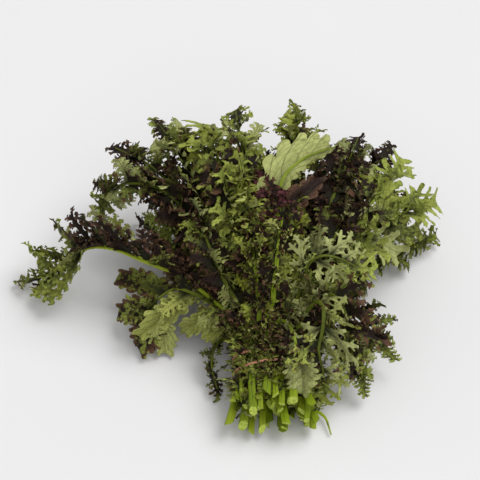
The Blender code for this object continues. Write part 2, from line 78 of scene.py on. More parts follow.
# %% [markdown]
# ## How the leaves lie
#
# The solids follow a rule: each leaf has a listed route, its stalk takes a slot in the
# band, and the stalks are pushed apart until they are clear of each other. The same rule is worked
# out again here, because it tells more than the solids show: the direction of each rib, and which
# way each lobe faces. Lengths are in millimetres until a mesh is made.

# %% The band and the bundle of stalks in it, in millimetres
SEED = 23
BUNDLE_HALF_WIDTH = 31.5
BUNDLE_HALF_HEIGHT = 18.0
BAND_THICKNESS = 1.1
BAND_CROSSING_OFFSET = 0.85
BAND_PRESSED_FLAT = 0.35
TOUCH_GAP = 0.35
BAND_GROWTH = TOUCH_GAP + BAND_THICKNESS / 2 + BAND_CROSSING_OFFSET
BAND_LOWEST = BAND_GROWTH + BAND_CROSSING_OFFSET * math.sin(math.pi / 4) + BAND_THICKNESS / 2
BUNDLE_Z = BUNDLE_HALF_HEIGHT + BAND_LOWEST - BAND_PRESSED_FLAT


def seeded(*numbers):
    """A random draw of its own for each use, the same in every run."""
    return np.random.default_rng([SEED, *numbers])


print("bundle middle at", round(BUNDLE_Z, 2), "mm above the table")

# %% [markdown]
# ## The leaves and their routes
#
# A route runs from just beyond the band to the tip. reach and width are a lobe's longest length
# and width, start is where the lobes begin as a share of the leaf, roll turns the blade about its
# rib, fold lifts both sides, and hold is how firmly the leaf keeps its place.

# %% Leaf table
Leaf = namedtuple("Leaf", "name route reach width pairs start roll fold stalk hold")

PLACED = [
    Leaf("leaf_left_arching", [(-27, 30, 32), (-56, 56, 45), (-80, 69, 52), (-105, 75, 60),
         (-130, 86, 62), (-154, 96, 52), (-171, 95, 36), (-192, 94, 20), (-211, 95, 9)],
         30, 10, 11, 0.34, 20, 24, 3.2, 4),
    Leaf("leaf_left_broad", [(-23, 21, 26), (-39, 39, 32), (-56, 49, 40), (-75, 56, 46),
         (-91, 53, 42), (-101, 43, 30), (-105, 33, 15)],
         34, 15, 6, 0.42, 8, -14, 3.2, 4),
    Leaf("leaf_upper_left", [(-31, 50, 40), (-56, 90, 62), (-81, 124, 80), (-102, 135, 86),
         (-124, 139, 84), (-140, 144, 70), (-148, 139, 55)],
         27, 12, 8, 0.42, -12, 18, 3.1, 4),
    Leaf("leaf_upper_left_fingers", [(-39, 80, 55), (-73, 129, 75), (-104, 166, 80),
         (-137, 196, 72)],
         26, 10, 8, 0.4, 10, 14, 3.0, 3),
    Leaf("leaf_right_spread", [(18, 46, 45), (42, 72, 62), (63, 90, 68), (86, 110, 66),
         (112, 133, 56), (136, 152, 46)],
         36, 13, 8, 0.36, 6, 10, 3.2, 4),
    Leaf("leaf_right_raised", [(22, 52, 50), (51, 85, 68), (74, 112, 75), (96, 144, 72),
         (114, 181, 62)],
         30, 11, 8, 0.4, -14, 14, 3.1, 3),
    Leaf("leaf_top_pale", [(3, 37, 55), (5, 75, 85), (6, 103, 102), (9, 122, 109), (27, 144, 110),
         (54, 170, 98)],
         30, 15, 6, 0.6, -10, -8, 2.9, 4),
    Leaf("leaf_top_curled", [(-5, 44, 60), (-4, 80, 85), (-3, 105, 100), (-6, 113, 108),
         (-12, 119, 108)],
         17, 8, 6, 0.62, 0, 40, 2.5, 3),
    Leaf("leaf_top_purple", [(9, 45, 58), (13, 81, 84), (15, 101, 98), (30, 116, 100),
         (44, 135, 95)],
         24, 11, 6, 0.56, 12, 16, 2.8, 3),
    Leaf("leaf_top_yellow", [(-9, 42, 62), (-15, 83, 88), (-21, 103, 102), (-25, 120, 108),
         (-27, 141, 108)],
         18, 8, 7, 0.5, -12, 12, 2.6, 3),
    Leaf("leaf_front", [(-2, 18, 44), (1, 36, 64), (3, 56, 80), (4, 74, 89), (8, 95, 97)],
         20, 9, 7, 0.36, 0, 18, 3.0, 4),
    Leaf("leaf_front_left", [(-10, 21, 50), (-13, 47, 68), (-16, 67, 82), (-15, 88, 92)],
         22, 9, 7, 0.34, -16, 22, 2.9, 3),
    Leaf("leaf_middle_pale", [(14, 23, 48), (21, 42, 62), (27, 56, 76), (38, 59, 84),
         (52, 58, 82), (71, 56, 70)],
         28, 12, 7, 0.44, -6, -6, 3.0, 4),
    Leaf("leaf_hanging_inner", [(19, 15, 45), (30, 28, 60), (37, 27, 66), (38, 8, 60),
         (34, -8, 50), (38, -23, 38), (39, -32, 27)],
         27, 12, 8, 0.42, 8, -20, 3.0, 4),
    Leaf("leaf_hanging_outer", [(22, 21, 48), (38, 36, 62), (49, 31, 66), (57, 14, 60),
         (60, -3, 50), (60, -16, 40)],
         24, 11, 7, 0.44, 14, -16, 2.9, 3),
    Leaf("leaf_right_low", [(25, 25, 38), (45, 33, 48), (62, 29, 50), (77, 19, 40), (90, 9, 24)],
         24, 9, 8, 0.38, 6, 8, 2.9, 3),
    Leaf("leaf_right_lowest", [(25, 14, 32), (44, 16, 38), (58, 6, 36), (67, -6, 28),
         (70, -18, 15)],
         20, 8, 7, 0.38, 10, 6, 2.8, 3),
    Leaf("leaf_left_tuft", [(-28, 16, 24), (-37, 22, 26), (-46, 15, 22), (-49, 0, 16),
         (-45, -17, 10)],
         16, 7, 7, 0.34, -10, 4, 2.4, 3),
    Leaf("leaf_folded_pale", [(-1, 15, 41), (4, 20, 49), (12, 14, 54), (17, -4, 52),
         (22, -23, 45), (25, -38, 36)],
         17, 11, 3, 0.66, 0, -26, 2.2, 5),
    Leaf("leaf_top_fingers", [(-12, 48, 55), (-27, 89, 82), (-39, 130, 98), (-48, 162, 102),
         (-59, 199, 98)],
         30, 12, 7, 0.5, 8, 8, 3.1, 3),
    Leaf("leaf_top_fingers_right", [(-8, 45, 58), (-15, 94, 88), (-22, 138, 102),
         (-27, 180, 102), (-31, 219, 96)],
         28, 12, 8, 0.46, -8, 10, 3.1, 3),
    Leaf("leaf_left_upright", [(-23, 25, 45), (-42, 58, 62), (-54, 85, 74), (-62, 113, 80),
         (-64, 130, 82)],
         20, 10, 7, 0.38, 16, 20, 2.9, 3),
    Leaf("leaf_top_spiky", [(8, 52, 62), (14, 102, 92), (18, 154, 98), (21, 197, 92),
         (24, 238, 84)],
         17, 8, 8, 0.5, 0, 10, 2.6, 3),
    Leaf("leaf_top_right", [(18, 62, 50), (44, 112, 75), (63, 160, 80), (78, 209, 72)],
         26, 10, 8, 0.42, 0, 16, 3.0, 2),
    Leaf("leaf_top_right_outer", [(22, 60, 46), (52, 110, 65), (80, 158, 68), (104, 205, 58)],
         26, 10, 8, 0.42, 12, 12, 3.0, 2),
    Leaf("leaf_top_left", [(-23, 57, 50), (-50, 109, 78), (-74, 164, 90), (-98, 210, 86)],
         27, 11, 7, 0.44, -8, 14, 3.0, 2),
    Leaf("leaf_centre_right", [(20, 41, 50), (39, 63, 70), (57, 105, 82), (66, 145, 80)],
         24, 11, 6, 0.42, 10, 14, 2.8, 2),
    Leaf("leaf_left_inner", [(-25, 39, 34), (-52, 78, 52), (-76, 107, 62), (-98, 122, 60)],
         24, 11, 6, 0.42, 6, 12, 2.8, 2),
]

# The tiers that fill the bunch behind them: count, heading of the first and last leaf in degrees
# from +Y, length beyond the band, height half way, height at the tip, lobe pairs.
TIERS = [
    (6, -44, 50, 196, 12, 8, 6),
    (6, -40, 42, 204, 42, 38, 7),
    (4, -24, 26, 200, 72, 70, 7),
]
TIER_SHARES = (0.22, 0.5, 0.78, 1.0)
TIER_TURN = 3
TIER_LENGTHS = (0.9, 1.08)
TIER_FIRST_RISE = 0.6
TIER_LATE_ARCH = 4
TIER_LOBE_REACH = 27
TIER_LOBE_WIDTH = 10.5
TIER_LOBES_START = 0.4
TIER_STALK = 3.0
TIER_HOLD = 1
TIER_ROLLS = (-35, 35)
TIER_FOLDS = (4, 26)


def tier_leaves():
    """The filling leaves, spread over each tier's headings."""
    leaves = []
    for tier, (count, first, last, length, middle_z, tip_z, pairs) in enumerate(TIERS):
        for place in range(count):
            draw = seeded(tier, place)
            spread = first + (last - first) * (place + 0.5) / count
            heading = math.radians(spread + draw.uniform(-TIER_TURN, TIER_TURN))
            long = length * draw.uniform(*TIER_LENGTHS)
            heights = (
                BUNDLE_Z + TIER_FIRST_RISE * (middle_z - BUNDLE_Z),
                middle_z,
                0.5 * (middle_z + tip_z) + TIER_LATE_ARCH,
                tip_z,
            )
            route = []
            for share, height in zip(TIER_SHARES, heights):
                turned = heading * (0.55 + 0.45 * share)
                route.append((share * long * math.sin(turned), share * long * math.cos(turned), height))
            roll = draw.uniform(*TIER_ROLLS)
            fold = draw.uniform(*TIER_FOLDS)
            name = f"leaf_tier_{tier + 1}_{place + 1}"
            lobes = (TIER_LOBE_REACH, TIER_LOBE_WIDTH, pairs, TIER_LOBES_START)
            leaves.append(Leaf(name, route, *lobes, roll, fold, TIER_STALK, TIER_HOLD))
    return leaves


LEAVES = [*PLACED, *tier_leaves()]
print("leaves:", len(LEAVES))

# %% [markdown]
# ## Curves through a few points
#
# A Catmull-Rom curve passes through every point that it is given and bends smoothly between them,
# so a handful of given points makes a natural stalk.

# %% Curves
CURVE_STEPS = 12
TIP_RADIUS = 0.55
STALK_TAPER = 1.3


def unit(vectors):
    """The vectors at length 1, along the last axis."""
    vectors = np.asarray(vectors, float)
    return vectors / np.maximum(np.linalg.norm(vectors, axis=-1, keepdims=True), 1e-9)


def between(shares, rows, wanted):
    """A straight blend between rows that stand at shares."""
    rows = np.array(rows)
    return np.stack([np.interp(wanted, shares, rows[:, axis]) for axis in range(3)], axis=-1)


def even_curve(points, count):
    """A Catmull-Rom curve through the points, sampled at even spacing."""
    points = np.asarray(points, float)
    ends = np.vstack([2 * points[0] - points[1], points, 2 * points[-1] - points[-2]])
    share = np.linspace(0, 1, CURVE_STEPS, endpoint=False)[:, None]
    dense = []
    for before, start, end, after in zip(ends, ends[1:], ends[2:], ends[3:]):
        dense.append(
            0.5
            * (
                2 * start
                + (end - before) * share
                + (2 * before - 5 * start + 4 * end - after) * share**2
                + (3 * start - before - 3 * end + after) * share**3
            )
        )
    dense = np.vstack([*dense, points[-1:]])
    along = np.concatenate([[0], np.cumsum(np.linalg.norm(np.diff(dense, axis=0), axis=1))])
    return between(along, dense, np.linspace(0, along[-1], count))


def stalk_radius(leaf, share):
    """The stalk and rib's radius at a share of its length."""
    return leaf.stalk + (TIP_RADIUS - leaf.stalk) * share**STALK_TAPER


# %% [markdown]
# ## Stalks side by side in the band
#
# In a real bunch the stalks press together until they fill the band. Here each stalk gets a round
# slot, the steepest leaves on top and each on the side that it leaves by, and overlapping slots
# push each other apart. Each centre line then runs from its cut end through its slot to its tip.

# %% Slots and centre lines
# How the slots are packed: the gap between stalks, the place on a stalk that is as thick as it is
# in the band, how far the slots are spread at first, and how often and how hard they are pushed
STALK_GAP = 0.8
BAND_SHARE = 0.2
FIRST_SPREAD = 0.8
PACKING_STEPS = 600
PACKING_PUSH = 0.35

# Where the cut ends and the band lie along the bunch, and how the rings of a rib are shared out
CUT_END_Y = -50.0
CUT_END_SCATTER = 9.0
CUT_END_FLARE = 1.22
CUT_END_SAG = 2
BAND_BACK_Y = -14.0
BAND_FRONT_Y = 4.0
SAMPLES = 72
PETIOLE_RINGS = 6
FIRST_LOBE_GAP = 0.05
LOBES_END = 0.93
LAST_RING = 0.97


def bundle_slots(leaves):
    """Where each stalk passes through the band: the steepest leaves on top and each on the side
    that it leaves by, packed without overlap."""
    first = np.array([leaf.route[0] for leaf in leaves])
    heading = np.arctan2(first[:, 0], first[:, 1])
    steepness = np.arctan2(first[:, 2] - BUNDLE_Z, np.hypot(first[:, 0], first[:, 1]))
    limits = np.array([BUNDLE_HALF_WIDTH, BUNDLE_HALF_HEIGHT])
    ranks = np.stack([heading, steepness], axis=1).argsort(axis=0).argsort(axis=0)
    slots = FIRST_SPREAD * limits * (2 * ranks / (len(leaves) - 1) - 1)
    radii = np.array([stalk_radius(leaf, BAND_SHARE) for leaf in leaves]) + STALK_GAP / 2
    for _ in range(PACKING_STEPS):
        apart = slots[:, None] - slots[None]
        distance = np.linalg.norm(apart, axis=2) + np.eye(len(slots)) * 1e3
        short = np.maximum(radii[:, None] + radii[None] - distance, 0)
        slots += PACKING_PUSH * (unit(apart) * short[..., None]).sum(axis=1)
        room = limits - radii[:, None]
        outside = np.maximum(np.linalg.norm(slots / room, axis=1), 1)
        slots /= outside[:, None]
    return slots


def stalk_chain(leaf, slot, place):
    """One leaf's centre line, from its cut end through the band to its tip: the middle of each
    ring, and the ring's share of the whole length."""
    draw = seeded(100 + place)
    x, z = slot
    end_y = CUT_END_Y + draw.uniform(-CUT_END_SCATTER, CUT_END_SCATTER)
    end = (x * CUT_END_FLARE, end_y, BUNDLE_Z + z * CUT_END_FLARE - CUT_END_SAG)
    back = (x, BAND_BACK_Y, BUNDLE_Z + z)
    front = (x, BAND_FRONT_Y, BUNDLE_Z + z)
    curve = even_curve([end, back, front, *leaf.route], SAMPLES)
    all_shares = np.linspace(0, 1, SAMPLES)
    back_share = all_shares[np.flatnonzero(curve[:, 1] > BAND_BACK_Y)[0] - 1]
    front_share = all_shares[np.flatnonzero(curve[:, 1] > BAND_FRONT_Y)[0]]
    lobes_start = max(leaf.start, front_share + FIRST_LOBE_GAP)
    shares = np.concatenate(
        [
            [0, back_share],
            np.linspace(front_share, lobes_start, PETIOLE_RINGS - 2, endpoint=False),
            np.linspace(lobes_start, LOBES_END, leaf.pairs + 1),
            [LAST_RING, 1.0],
        ]
    )
    return between(all_shares, curve, shares), shares


# %% [markdown]
# ## Stalks that make room for each other
#
# Where two centre lines come closer than their stalks are thick, both move apart, the firmer one
# less. Repeating this many times settles the whole bunch, as shaking a real one does.

# %% Settling
SETTLE_STEPS = 340
SETTLE_PUSH = 1.2
SMOOTHED_STEPS = 180
SMOOTHING = 0.35
TABLE_GAP = 0.05


def nearest_shares(start, along, other_start, other_along):
    """Where pairs of straight pieces come nearest each other, as a share of each piece."""
    offset = start - other_start
    square, other_square = (along**2).sum(axis=1), (other_along**2).sum(axis=1)
    shared = (along * other_along).sum(axis=1)
    on_first, on_second = (along * offset).sum(axis=1), (other_along * offset).sum(axis=1)
    spread = np.maximum(square * other_square - shared**2, 1e-6)
    share = np.clip((shared * on_second - on_first * other_square) / spread, 0, 1)
    other_share = np.clip((shared * share + on_second) / other_square, 0, 1)
    share = np.clip((shared * other_share - on_first) / square, 0, 1)
    return share[:, None], other_share[:, None]


def settle(leaves, chains, shares):
    """Pushes stalks that touch apart, and keeps them inside the band and above the table."""
    count = [len(chain) for chain in chains]
    points = np.concatenate(chains)
    routes = points.copy()
    radii = np.concatenate([stalk_radius(leaf, share) for leaf, share in zip(leaves, shares)])
    yields = np.repeat([1 / leaf.hold for leaf in leaves], count)
    owner = np.repeat(np.arange(len(leaves)), count)
    tails = np.flatnonzero(owner[:-1] == owner[1:])
    heads = np.cumsum([0, *count[:-1]])
    in_band = np.concatenate([heads + 1, heads + 2])
    upper, lower = np.triu_indices(len(tails), 1)
    apart_leaves = owner[tails[upper]] != owner[tails[lower]]
    upper, lower = tails[upper[apart_leaves]], tails[lower[apart_leaves]]
    for step in range(SETTLE_STEPS):
        along = points[1:] - points[:-1]
        middle = points[:-1] + along / 2
        half = np.linalg.norm(along, axis=1) / 2
        reach = half[upper] + half[lower] + radii[upper] + radii[lower] + STALK_GAP
        near = ((middle[upper] - middle[lower]) ** 2).sum(axis=1) < reach**2
        one, two = upper[near], lower[near]
        share, other = nearest_shares(points[one], along[one], points[two], along[two])
        apart = points[one] + along[one] * share - points[two] - along[two] * other
        wanted = (
            radii[one] * (1 - share[:, 0]) + radii[one + 1] * share[:, 0]
            + radii[two] * (1 - other[:, 0]) + radii[two + 1] * other[:, 0]
            + STALK_GAP
        )
        short = wanted - np.linalg.norm(apart, axis=1)
        hit = short > 0
        one, two, share, other = one[hit], two[hit], share[hit], other[hit]
        push = unit(apart[hit]) * short[hit][:, None]
        give = yields[one][:, None] * ((1 - share) ** 2 + share**2)
        give += yields[two][:, None] * ((1 - other) ** 2 + other**2)
        moved = np.zeros_like(points)
        weight = np.zeros((len(points), 1))
        for place, part, sign in (
            (one, 1 - share, 1), (one + 1, share, 1), (two, 1 - other, -1), (two + 1, other, -1),
        ):
            np.add.at(moved, place, sign * push * part * yields[place][:, None] / give)
            np.add.at(weight, place, part)
        points += SETTLE_PUSH * moved / np.maximum(weight, 1)
        if step < SMOOTHED_STEPS:
            strayed = points - routes
            eased = (strayed[:-2] + 2 * strayed[1:-1] + strayed[2:]) / 4
            inner = (owner[:-2] == owner[2:])[:, None]
            points[1:-1] += np.where(inner, SMOOTHING * (eased - strayed[1:-1]), 0)
        room_x = BUNDLE_HALF_WIDTH - radii[in_band]
        room_z = BUNDLE_HALF_HEIGHT - radii[in_band]
        high = points[in_band, 2] - BUNDLE_Z
        outside = np.maximum(np.hypot(points[in_band, 0] / room_x, high / room_z), 1)
        points[in_band, 0] /= outside
        points[in_band, 2] = BUNDLE_Z + high / outside
        points[in_band, 1] = routes[in_band, 1]
        points[:, 2] = np.maximum(points[:, 2], radii + TABLE_GAP)
    return np.split(points, np.cumsum(count)[:-1])


# %% [markdown]
# ## Ribs and the places of their lobes
#
# A lobe grows from two neighbouring rings of its rib. Its sections at the middle and the tip lean
# forward and fold up or down. With the rib's own directions at hand, a blade can later be laid
# along each lobe the right way up, which the corners of the solid alone don't tell.

# %% Ribs
# The way that the leaves face, and the shape of a lobe: the angle between it and the rib, how
# much narrower that is at its tip, how many degrees it droops there, how much of its room it
# takes, its least width, its two thicknesses, where its middle lies and how wide its tip is
FACE_UP = (0, -0.55, 0.83)
LOBE_LEAN = math.radians(52)
LOBE_TURN = math.radians(12)
LOBE_DROOP = 14
LOBE_CROWDING = 0.94
LOBE_LEAST_WIDTH = 3.0
LOBE_THICKNESS = (0.95, 0.7)
LOBE_MIDDLE = 0.55
LOBE_TIP_WIDTH = 0.5

# Where the corners of its root stand beside and above the rib's middle, in radii of the rib
ROOT_WIDE = 0.9
ROOT_HIGH = 0.475

# The first lobe's size, and where and how much the last ones get smaller
FIRST_SIZE = 0.34
FULL_UNTIL = 0.72
LAST_LOSS = 0.5


def rib_frames(chain, roll):
    """Tangent, side and face direction at each ring, the face turned up and to the front."""
    steps = unit(np.diff(chain, axis=0))
    tangent = unit(np.vstack([steps[:1], steps[:-1] + steps[1:], steps[-1:]]))
    up = np.array(FACE_UP)
    face = unit(up - (tangent @ up)[:, None] * tangent)
    side = np.cross(tangent, face)
    turn = math.radians(roll)
    turned_side = side * math.cos(turn) - face * math.sin(turn)
    turned_face = face * math.cos(turn) + side * math.sin(turn)
    return tangent, turned_side, turned_face


class Rib:
    """The stalk and midrib of one leaf, and the places its lobes grow from."""

    def __init__(self, leaf, chain, shares):
        self.leaf = leaf
        self.shares = shares
        self.middles = chain
        self.radii = stalk_radius(leaf, shares)
        self.tangents, self.sides, self.faces = rib_frames(chain, leaf.roll)

    def lobe_size(self, pair):
        """A lobe's share of the leaf's longest lobe: small near the stalk, largest past half way."""
        place = (pair + 0.5) / self.leaf.pairs
        rise = min(1, FIRST_SIZE + place)
        fall = 1 - LAST_LOSS * max(0, place - FULL_UNTIL) / (1 - FULL_UNTIL)
        return rise * fall

    def root(self, pair, right):
        """The four root corners of a lobe: upper back, upper front, lower front, lower back."""
        corners = []
        for step, up in ((0, 1), (1, 1), (1, -1), (0, -1)):
            ring = PETIOLE_RINGS + pair + step
            wide = self.sides[ring] * self.radii[ring] * (ROOT_WIDE if right else -ROOT_WIDE)
            high = self.faces[ring] * self.radii[ring] * ROOT_HIGH * up
            corners.append(self.middles[ring] + wide + high)
        return corners

    def lobe(self, pair, right, fold, length):
        """The sections of a lobe at its root, middle and tip, each as four corners."""
        corners = self.root(pair, right)
        here = slice(PETIOLE_RINGS + pair, PETIOLE_RINGS + pair + 2)
        tangent, side, face = (
            unit(rows[here].sum(axis=0)) for rows in (self.tangents, self.sides, self.faces)
        )
        outward = side if right else -side
        size = self.lobe_size(pair)
        reach = self.leaf.reach * size * length
        room = np.linalg.norm(corners[1] - corners[0]) * math.sin(LOBE_LEAN)
        full = min(self.leaf.width * (0.45 + 0.55 * size), room * LOBE_CROWDING)
        half = max(full, LOBE_LEAST_WIDTH) / 2
        stretches = (
            (LOBE_MIDDLE, half, LOBE_THICKNESS[0]),
            (1.0, half * LOBE_TIP_WIDTH, LOBE_THICKNESS[1]),
        )
        sections = [np.array(corners)]
        centre = sum(corners) / 4
        before = 0.0
        for step, (share, half_width, thickness) in enumerate(stretches):
            angle = math.radians(fold - LOBE_DROOP * step)
            across = outward * math.cos(angle) + face * math.sin(angle)
            lean = LOBE_LEAN - LOBE_TURN * step
            heading = tangent * math.cos(lean) + across * math.sin(lean)
            normal = unit(np.cross(tangent, across))
            if normal @ face < 0:
                normal = -normal
            width = unit(np.cross(normal, heading))
            if width @ tangent < 0:
                width = -width
            centre = centre + heading * reach * (share - before)
            before = share
            thick = thickness / 2 * normal
            wide = half_width * width
            rear, fore = centre - wide, centre + wide
            sections.append(np.array([rear + thick, fore + thick, fore - thick, rear - thick]))
        return sections


slots = bundle_slots(LEAVES)
chains, ring_shares = [], []
for place, (leaf, slot) in enumerate(zip(LEAVES, slots)):
    chain, shares = stalk_chain(leaf, slot, place)
    chains.append(chain)
    ring_shares.append(shares)
chains = settle(LEAVES, chains, ring_shares)
RIBS = {leaf.name: Rib(leaf, chain, shares) for leaf, chain, shares in zip(LEAVES, chains, ring_shares)}
print("ribs:", len(RIBS))

# %% [markdown]
# ## The lobes that each solid has
#
# Each lobe's fold and length were chosen among a few, so that it touches nothing. That choice is
# read back from the solid here: the lobe is worked out for each, and the right one has its corners
# in the mesh. A lobe that isn't in the mesh gets no blade.

# %% Read each lobe's fold and length back from its solid
# Folds are in degrees, and MATCH_WITHIN is in millimetres
FOLD_TRIALS = (0, 22, -22, 44, -40, 66)
LENGTH_TRIALS = (1.0, 0.78, 0.55)
FOLD_WAVE = 14
FOLD_ZIGZAG = 11
MATCH_WITHIN = 0.3
Lobe = namedtuple("Lobe", "pair right sections fold length")


def solid_points(name):
    """The corner points of a frame solid, in millimetres."""
    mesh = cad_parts[name].data
    points = np.zeros(len(mesh.vertices) * 3)
    mesh.vertices.foreach_get("co", points)
    return points.reshape(-1, 3) / MM


def corner_gap(section_points, points):
    """The largest distance from a lobe's corners to the nearest points of the solid."""
    away = np.linalg.norm(section_points[:, None] - points[None], axis=2)
    return away.min(axis=1).max()


def find_lobes(rib, index):
    """The lobes that the leaf's solid really has."""
    points = solid_points(rib.leaf.name)
    found = []
    for pair in range(rib.leaf.pairs):
        for right in (True, False):
            draw = seeded(200 + index, pair, int(right))
            wave = draw.uniform(-FOLD_WAVE, FOLD_WAVE) + (FOLD_ZIGZAG if pair % 2 else -FOLD_ZIGZAG)
            tries = []
            for length in LENGTH_TRIALS:
                for trial in FOLD_TRIALS:
                    fold = rib.leaf.fold + wave + trial
                    sections = rib.lobe(pair, right, fold, length)
                    gap = corner_gap(np.concatenate(sections[1:]), points)
                    tries.append((gap, Lobe(pair, right, sections, fold, length)))
            gap, lobe = min(tries, key=lambda one: one[0])
            if gap < MATCH_WITHIN:
                found.append(lobe)
    return found


LOBES = {name: find_lobes(rib, index) for index, (name, rib) in enumerate(RIBS.items())}
print("lobes:", sum(len(lobes) for lobes in LOBES.values()))

# %% [markdown]
# ## Blades, modelled flat
#
# Mustard of this kind has blades cut into fine, blunt-ended branches. One blade is modelled flat,
# as its right half: a column of faces from the rib to the tip, with branches and twigs pulled out
# of its border edges by extrusion. A few such patterns, each in some varieties, make all the lobes
# of the bunch once they are bent and ruffled, which is far less work than drawing each lobe.

# %% Pulling branches out of an edge
BLADE_LENGTH = 30.0
BLADE_HALF = 8.0
SAME_PLACE = 0.001

# An edge of the blade's border: its middle, and the way from there to its left end as seen by
# someone who walks outwards across it
Edge = namedtuple("Edge", "middle half")


def pick(piece, parts, wanted):
    """Selects the vertices, edges or faces of a piece that are wanted, and no others."""
    bpy.ops.mesh.select_all(action="DESELECT")
    mesh = bmesh.from_edit_mesh(piece.data)
    for part in getattr(mesh, parts):
        part.select_set(wanted(part))
    bmesh.update_edit_mesh(piece.data)


def start_blade(name, outline, columns=1):
    """The right half of a blade's middle part, from pairs of a height and the half width there."""
    rows = len(outline) - 1
    bpy.ops.mesh.primitive_grid_add(x_subdivisions=columns, y_subdivisions=rows, size=1)
    blade = bpy.context.object
    blade.name = name
    bpy.ops.object.mode_set(mode="EDIT")
    bpy.ops.mesh.select_mode(type="VERT")
    bpy.ops.transform.translate(value=(0.5, 0.5, 0))
    bpy.ops.transform.resize(value=(1, BLADE_LENGTH, 1), center_override=(0, 0, 0))
    for row, (height, half) in reversed(list(enumerate(outline))):
        now = BLADE_LENGTH * row / rows
        pick(blade, "verts", lambda point: abs(point.co.y - now) < SAME_PLACE and not point.hide)
        bpy.ops.transform.resize(value=(half, 1, 1), center_override=(0, now, 0))
        bpy.ops.transform.translate(value=(0, height - now, 0))
        bpy.ops.mesh.hide(unselected=False)
    bpy.ops.mesh.reveal(select=False)
    bpy.ops.mesh.select_mode(type="EDGE")
    return blade


def row_edge(outline, row):
    """The border edge of one row of a blade's middle part."""
    (low, low_half), (high, high_half) = outline[row : row + 2]
    near = Vector((low_half, low, 0))
    far = Vector((high_half, high, 0))
    return Edge((near + far) / 2, (far - near) / 2)


def pull(blade, edge, angle, length, width, rise=0.0):
    """Pulls a border edge outwards into a new face, and gives the new edge."""
    bpy.ops.mesh.select_all(action="DESELECT")
    mesh = bmesh.from_edit_mesh(blade.data)
    borders = (one for one in mesh.edges if one.is_boundary)
    nearest = min(
        borders, key=lambda one: (one.verts[0].co + one.verts[1].co - 2 * edge.middle).length
    )
    nearest.select_set(True)
    bmesh.update_edit_mesh(blade.data)
    heading = Vector((math.cos(angle), math.sin(angle), rise))
    new = Edge(edge.middle + heading * length, Vector((-heading.y, heading.x, 0)) * width / 2)
    grown = new.half.length / edge.half.length
    turned = math.atan2(new.half.y, new.half.x) - math.atan2(edge.half.y, edge.half.x)
    bpy.ops.mesh.extrude_edges_indiv()
    bpy.ops.transform.translate(value=new.middle - edge.middle)
    bpy.ops.transform.resize(value=(grown, grown, 1), center_override=new.middle)
    bpy.ops.transform.rotate(value=-turned, orient_axis="Z", center_override=new.middle)
    return new


def flank(near, far, left):
    """The left or right border edge of the face between two edges."""
    sign = 1 if left else -1
    first = near.middle + sign * near.half
    last = far.middle + sign * far.half
    return Edge((first + last) / 2, (first - last) / 2 * sign)


# Lengths and widths of a branch's parts as shares of the branch, and how its twigs spread
NECK_LENGTH, NECK_WIDTH = 0.62, 0.5
KNOT_LENGTH, KNOT_WIDTH = 0.38, 0.6
END_LENGTH, END_WIDTH = 0.6, 0.8
TWIG_WIDTH = 0.5
TWIG_LENGTHS = (0.7, 1.2)
TWIG_SPREAD = 0.9
TWIG_SCATTER = 0.25
BRANCH_WANDER = 0.22


def branch(blade, edge, angle, reach, cut, rise, draw):
    """A branch that forks to both sides a few times and ends in a blunt knob."""
    part = reach / (cut.forks + END_LENGTH)
    for _ in range(cut.forks):
        neck = pull(blade, edge, angle, NECK_LENGTH * part, NECK_WIDTH * cut.width, rise)
        knot = pull(blade, neck, angle, KNOT_LENGTH * part, KNOT_WIDTH * cut.width, rise)
        for left in (True, False):
            out = angle + (TWIG_SPREAD if left else -TWIG_SPREAD)
            out += draw.uniform(-TWIG_SCATTER, TWIG_SCATTER)
            long = cut.twig * reach * draw.uniform(*TWIG_LENGTHS)
            pull(blade, flank(neck, knot, left), out, long, TWIG_WIDTH * cut.end * cut.width, -rise)
        edge = knot
        angle += draw.uniform(-BRANCH_WANDER, BRANCH_WANDER)
    pull(blade, edge, angle, END_LENGTH * part, cut.end * cut.width * END_WIDTH, rise)


# %% [markdown]
# ## From half a blade to a whole one
#
# Mirror adds the left half and joins it along the midrib, Subdivision Surface rounds the kinds that
# have round ends, and Solidify gives the sheet a thickness. The points and faces are then kept
# without the object, because every blade of a kind is bent in its own way later.

# %% Finishing a flat blade and keeping its points and faces
BLADE_THICKNESS = 0.45
Pattern = namedtuple("Pattern", "points faces under")


def apply_modifier(piece, kind, name, **settings):
    """Adds a modifier with its settings to the active piece and applies it."""
    modifier = piece.modifiers.new(name, kind)
    for setting, value in settings.items():
        setattr(modifier, setting, value)
    bpy.ops.object.modifier_apply(modifier=modifier.name)


def finish_blade(blade, smooth):
    """Mirrors, smooths and thickens a half blade, and gives its points, faces and underside."""
    bpy.ops.object.mode_set(mode="OBJECT")
    apply_modifier(blade, "MIRROR", "left half", use_clip=True)
    if smooth:
        apply_modifier(blade, "SUBSURF", "rounded", levels=1, render_levels=1)
    apply_modifier(blade, "SOLIDIFY", "thickness", thickness=BLADE_THICKNESS, offset=0)
    mesh = blade.data
    points = np.array([point.co for point in mesh.vertices])
    faces = [tuple(face.vertices) for face in mesh.polygons]
    under = [face.normal.z < -0.5 for face in mesh.polygons]
    bpy.data.objects.remove(blade)
    return Pattern(points, faces, under)


def comb(cut):
    """The outline of a narrow middle part: a gap row and a branch row for each branch."""
    step = BLADE_LENGTH / cut.count
    outline = [(0, cut.core)]
    for place in range(cut.count):
        share = (place + 1) / cut.count
        half = cut.tip + (cut.core - cut.tip) * (1 - share)
        outline.append((step * (place + cut.gap), half))
        outline.append((step * (place + 1), half))
    return outline


# %% [markdown]
# ## The kinds of blade
#
# The leaves of one bunch differ in how they are cut: finely frilled, in round-ended fingers, in
# narrow ribbons, or hardly at all. The cut kinds share one rule with numbers of their own, so a new
# kind needs only a new row. The two that aren't cut have scallops along their border.

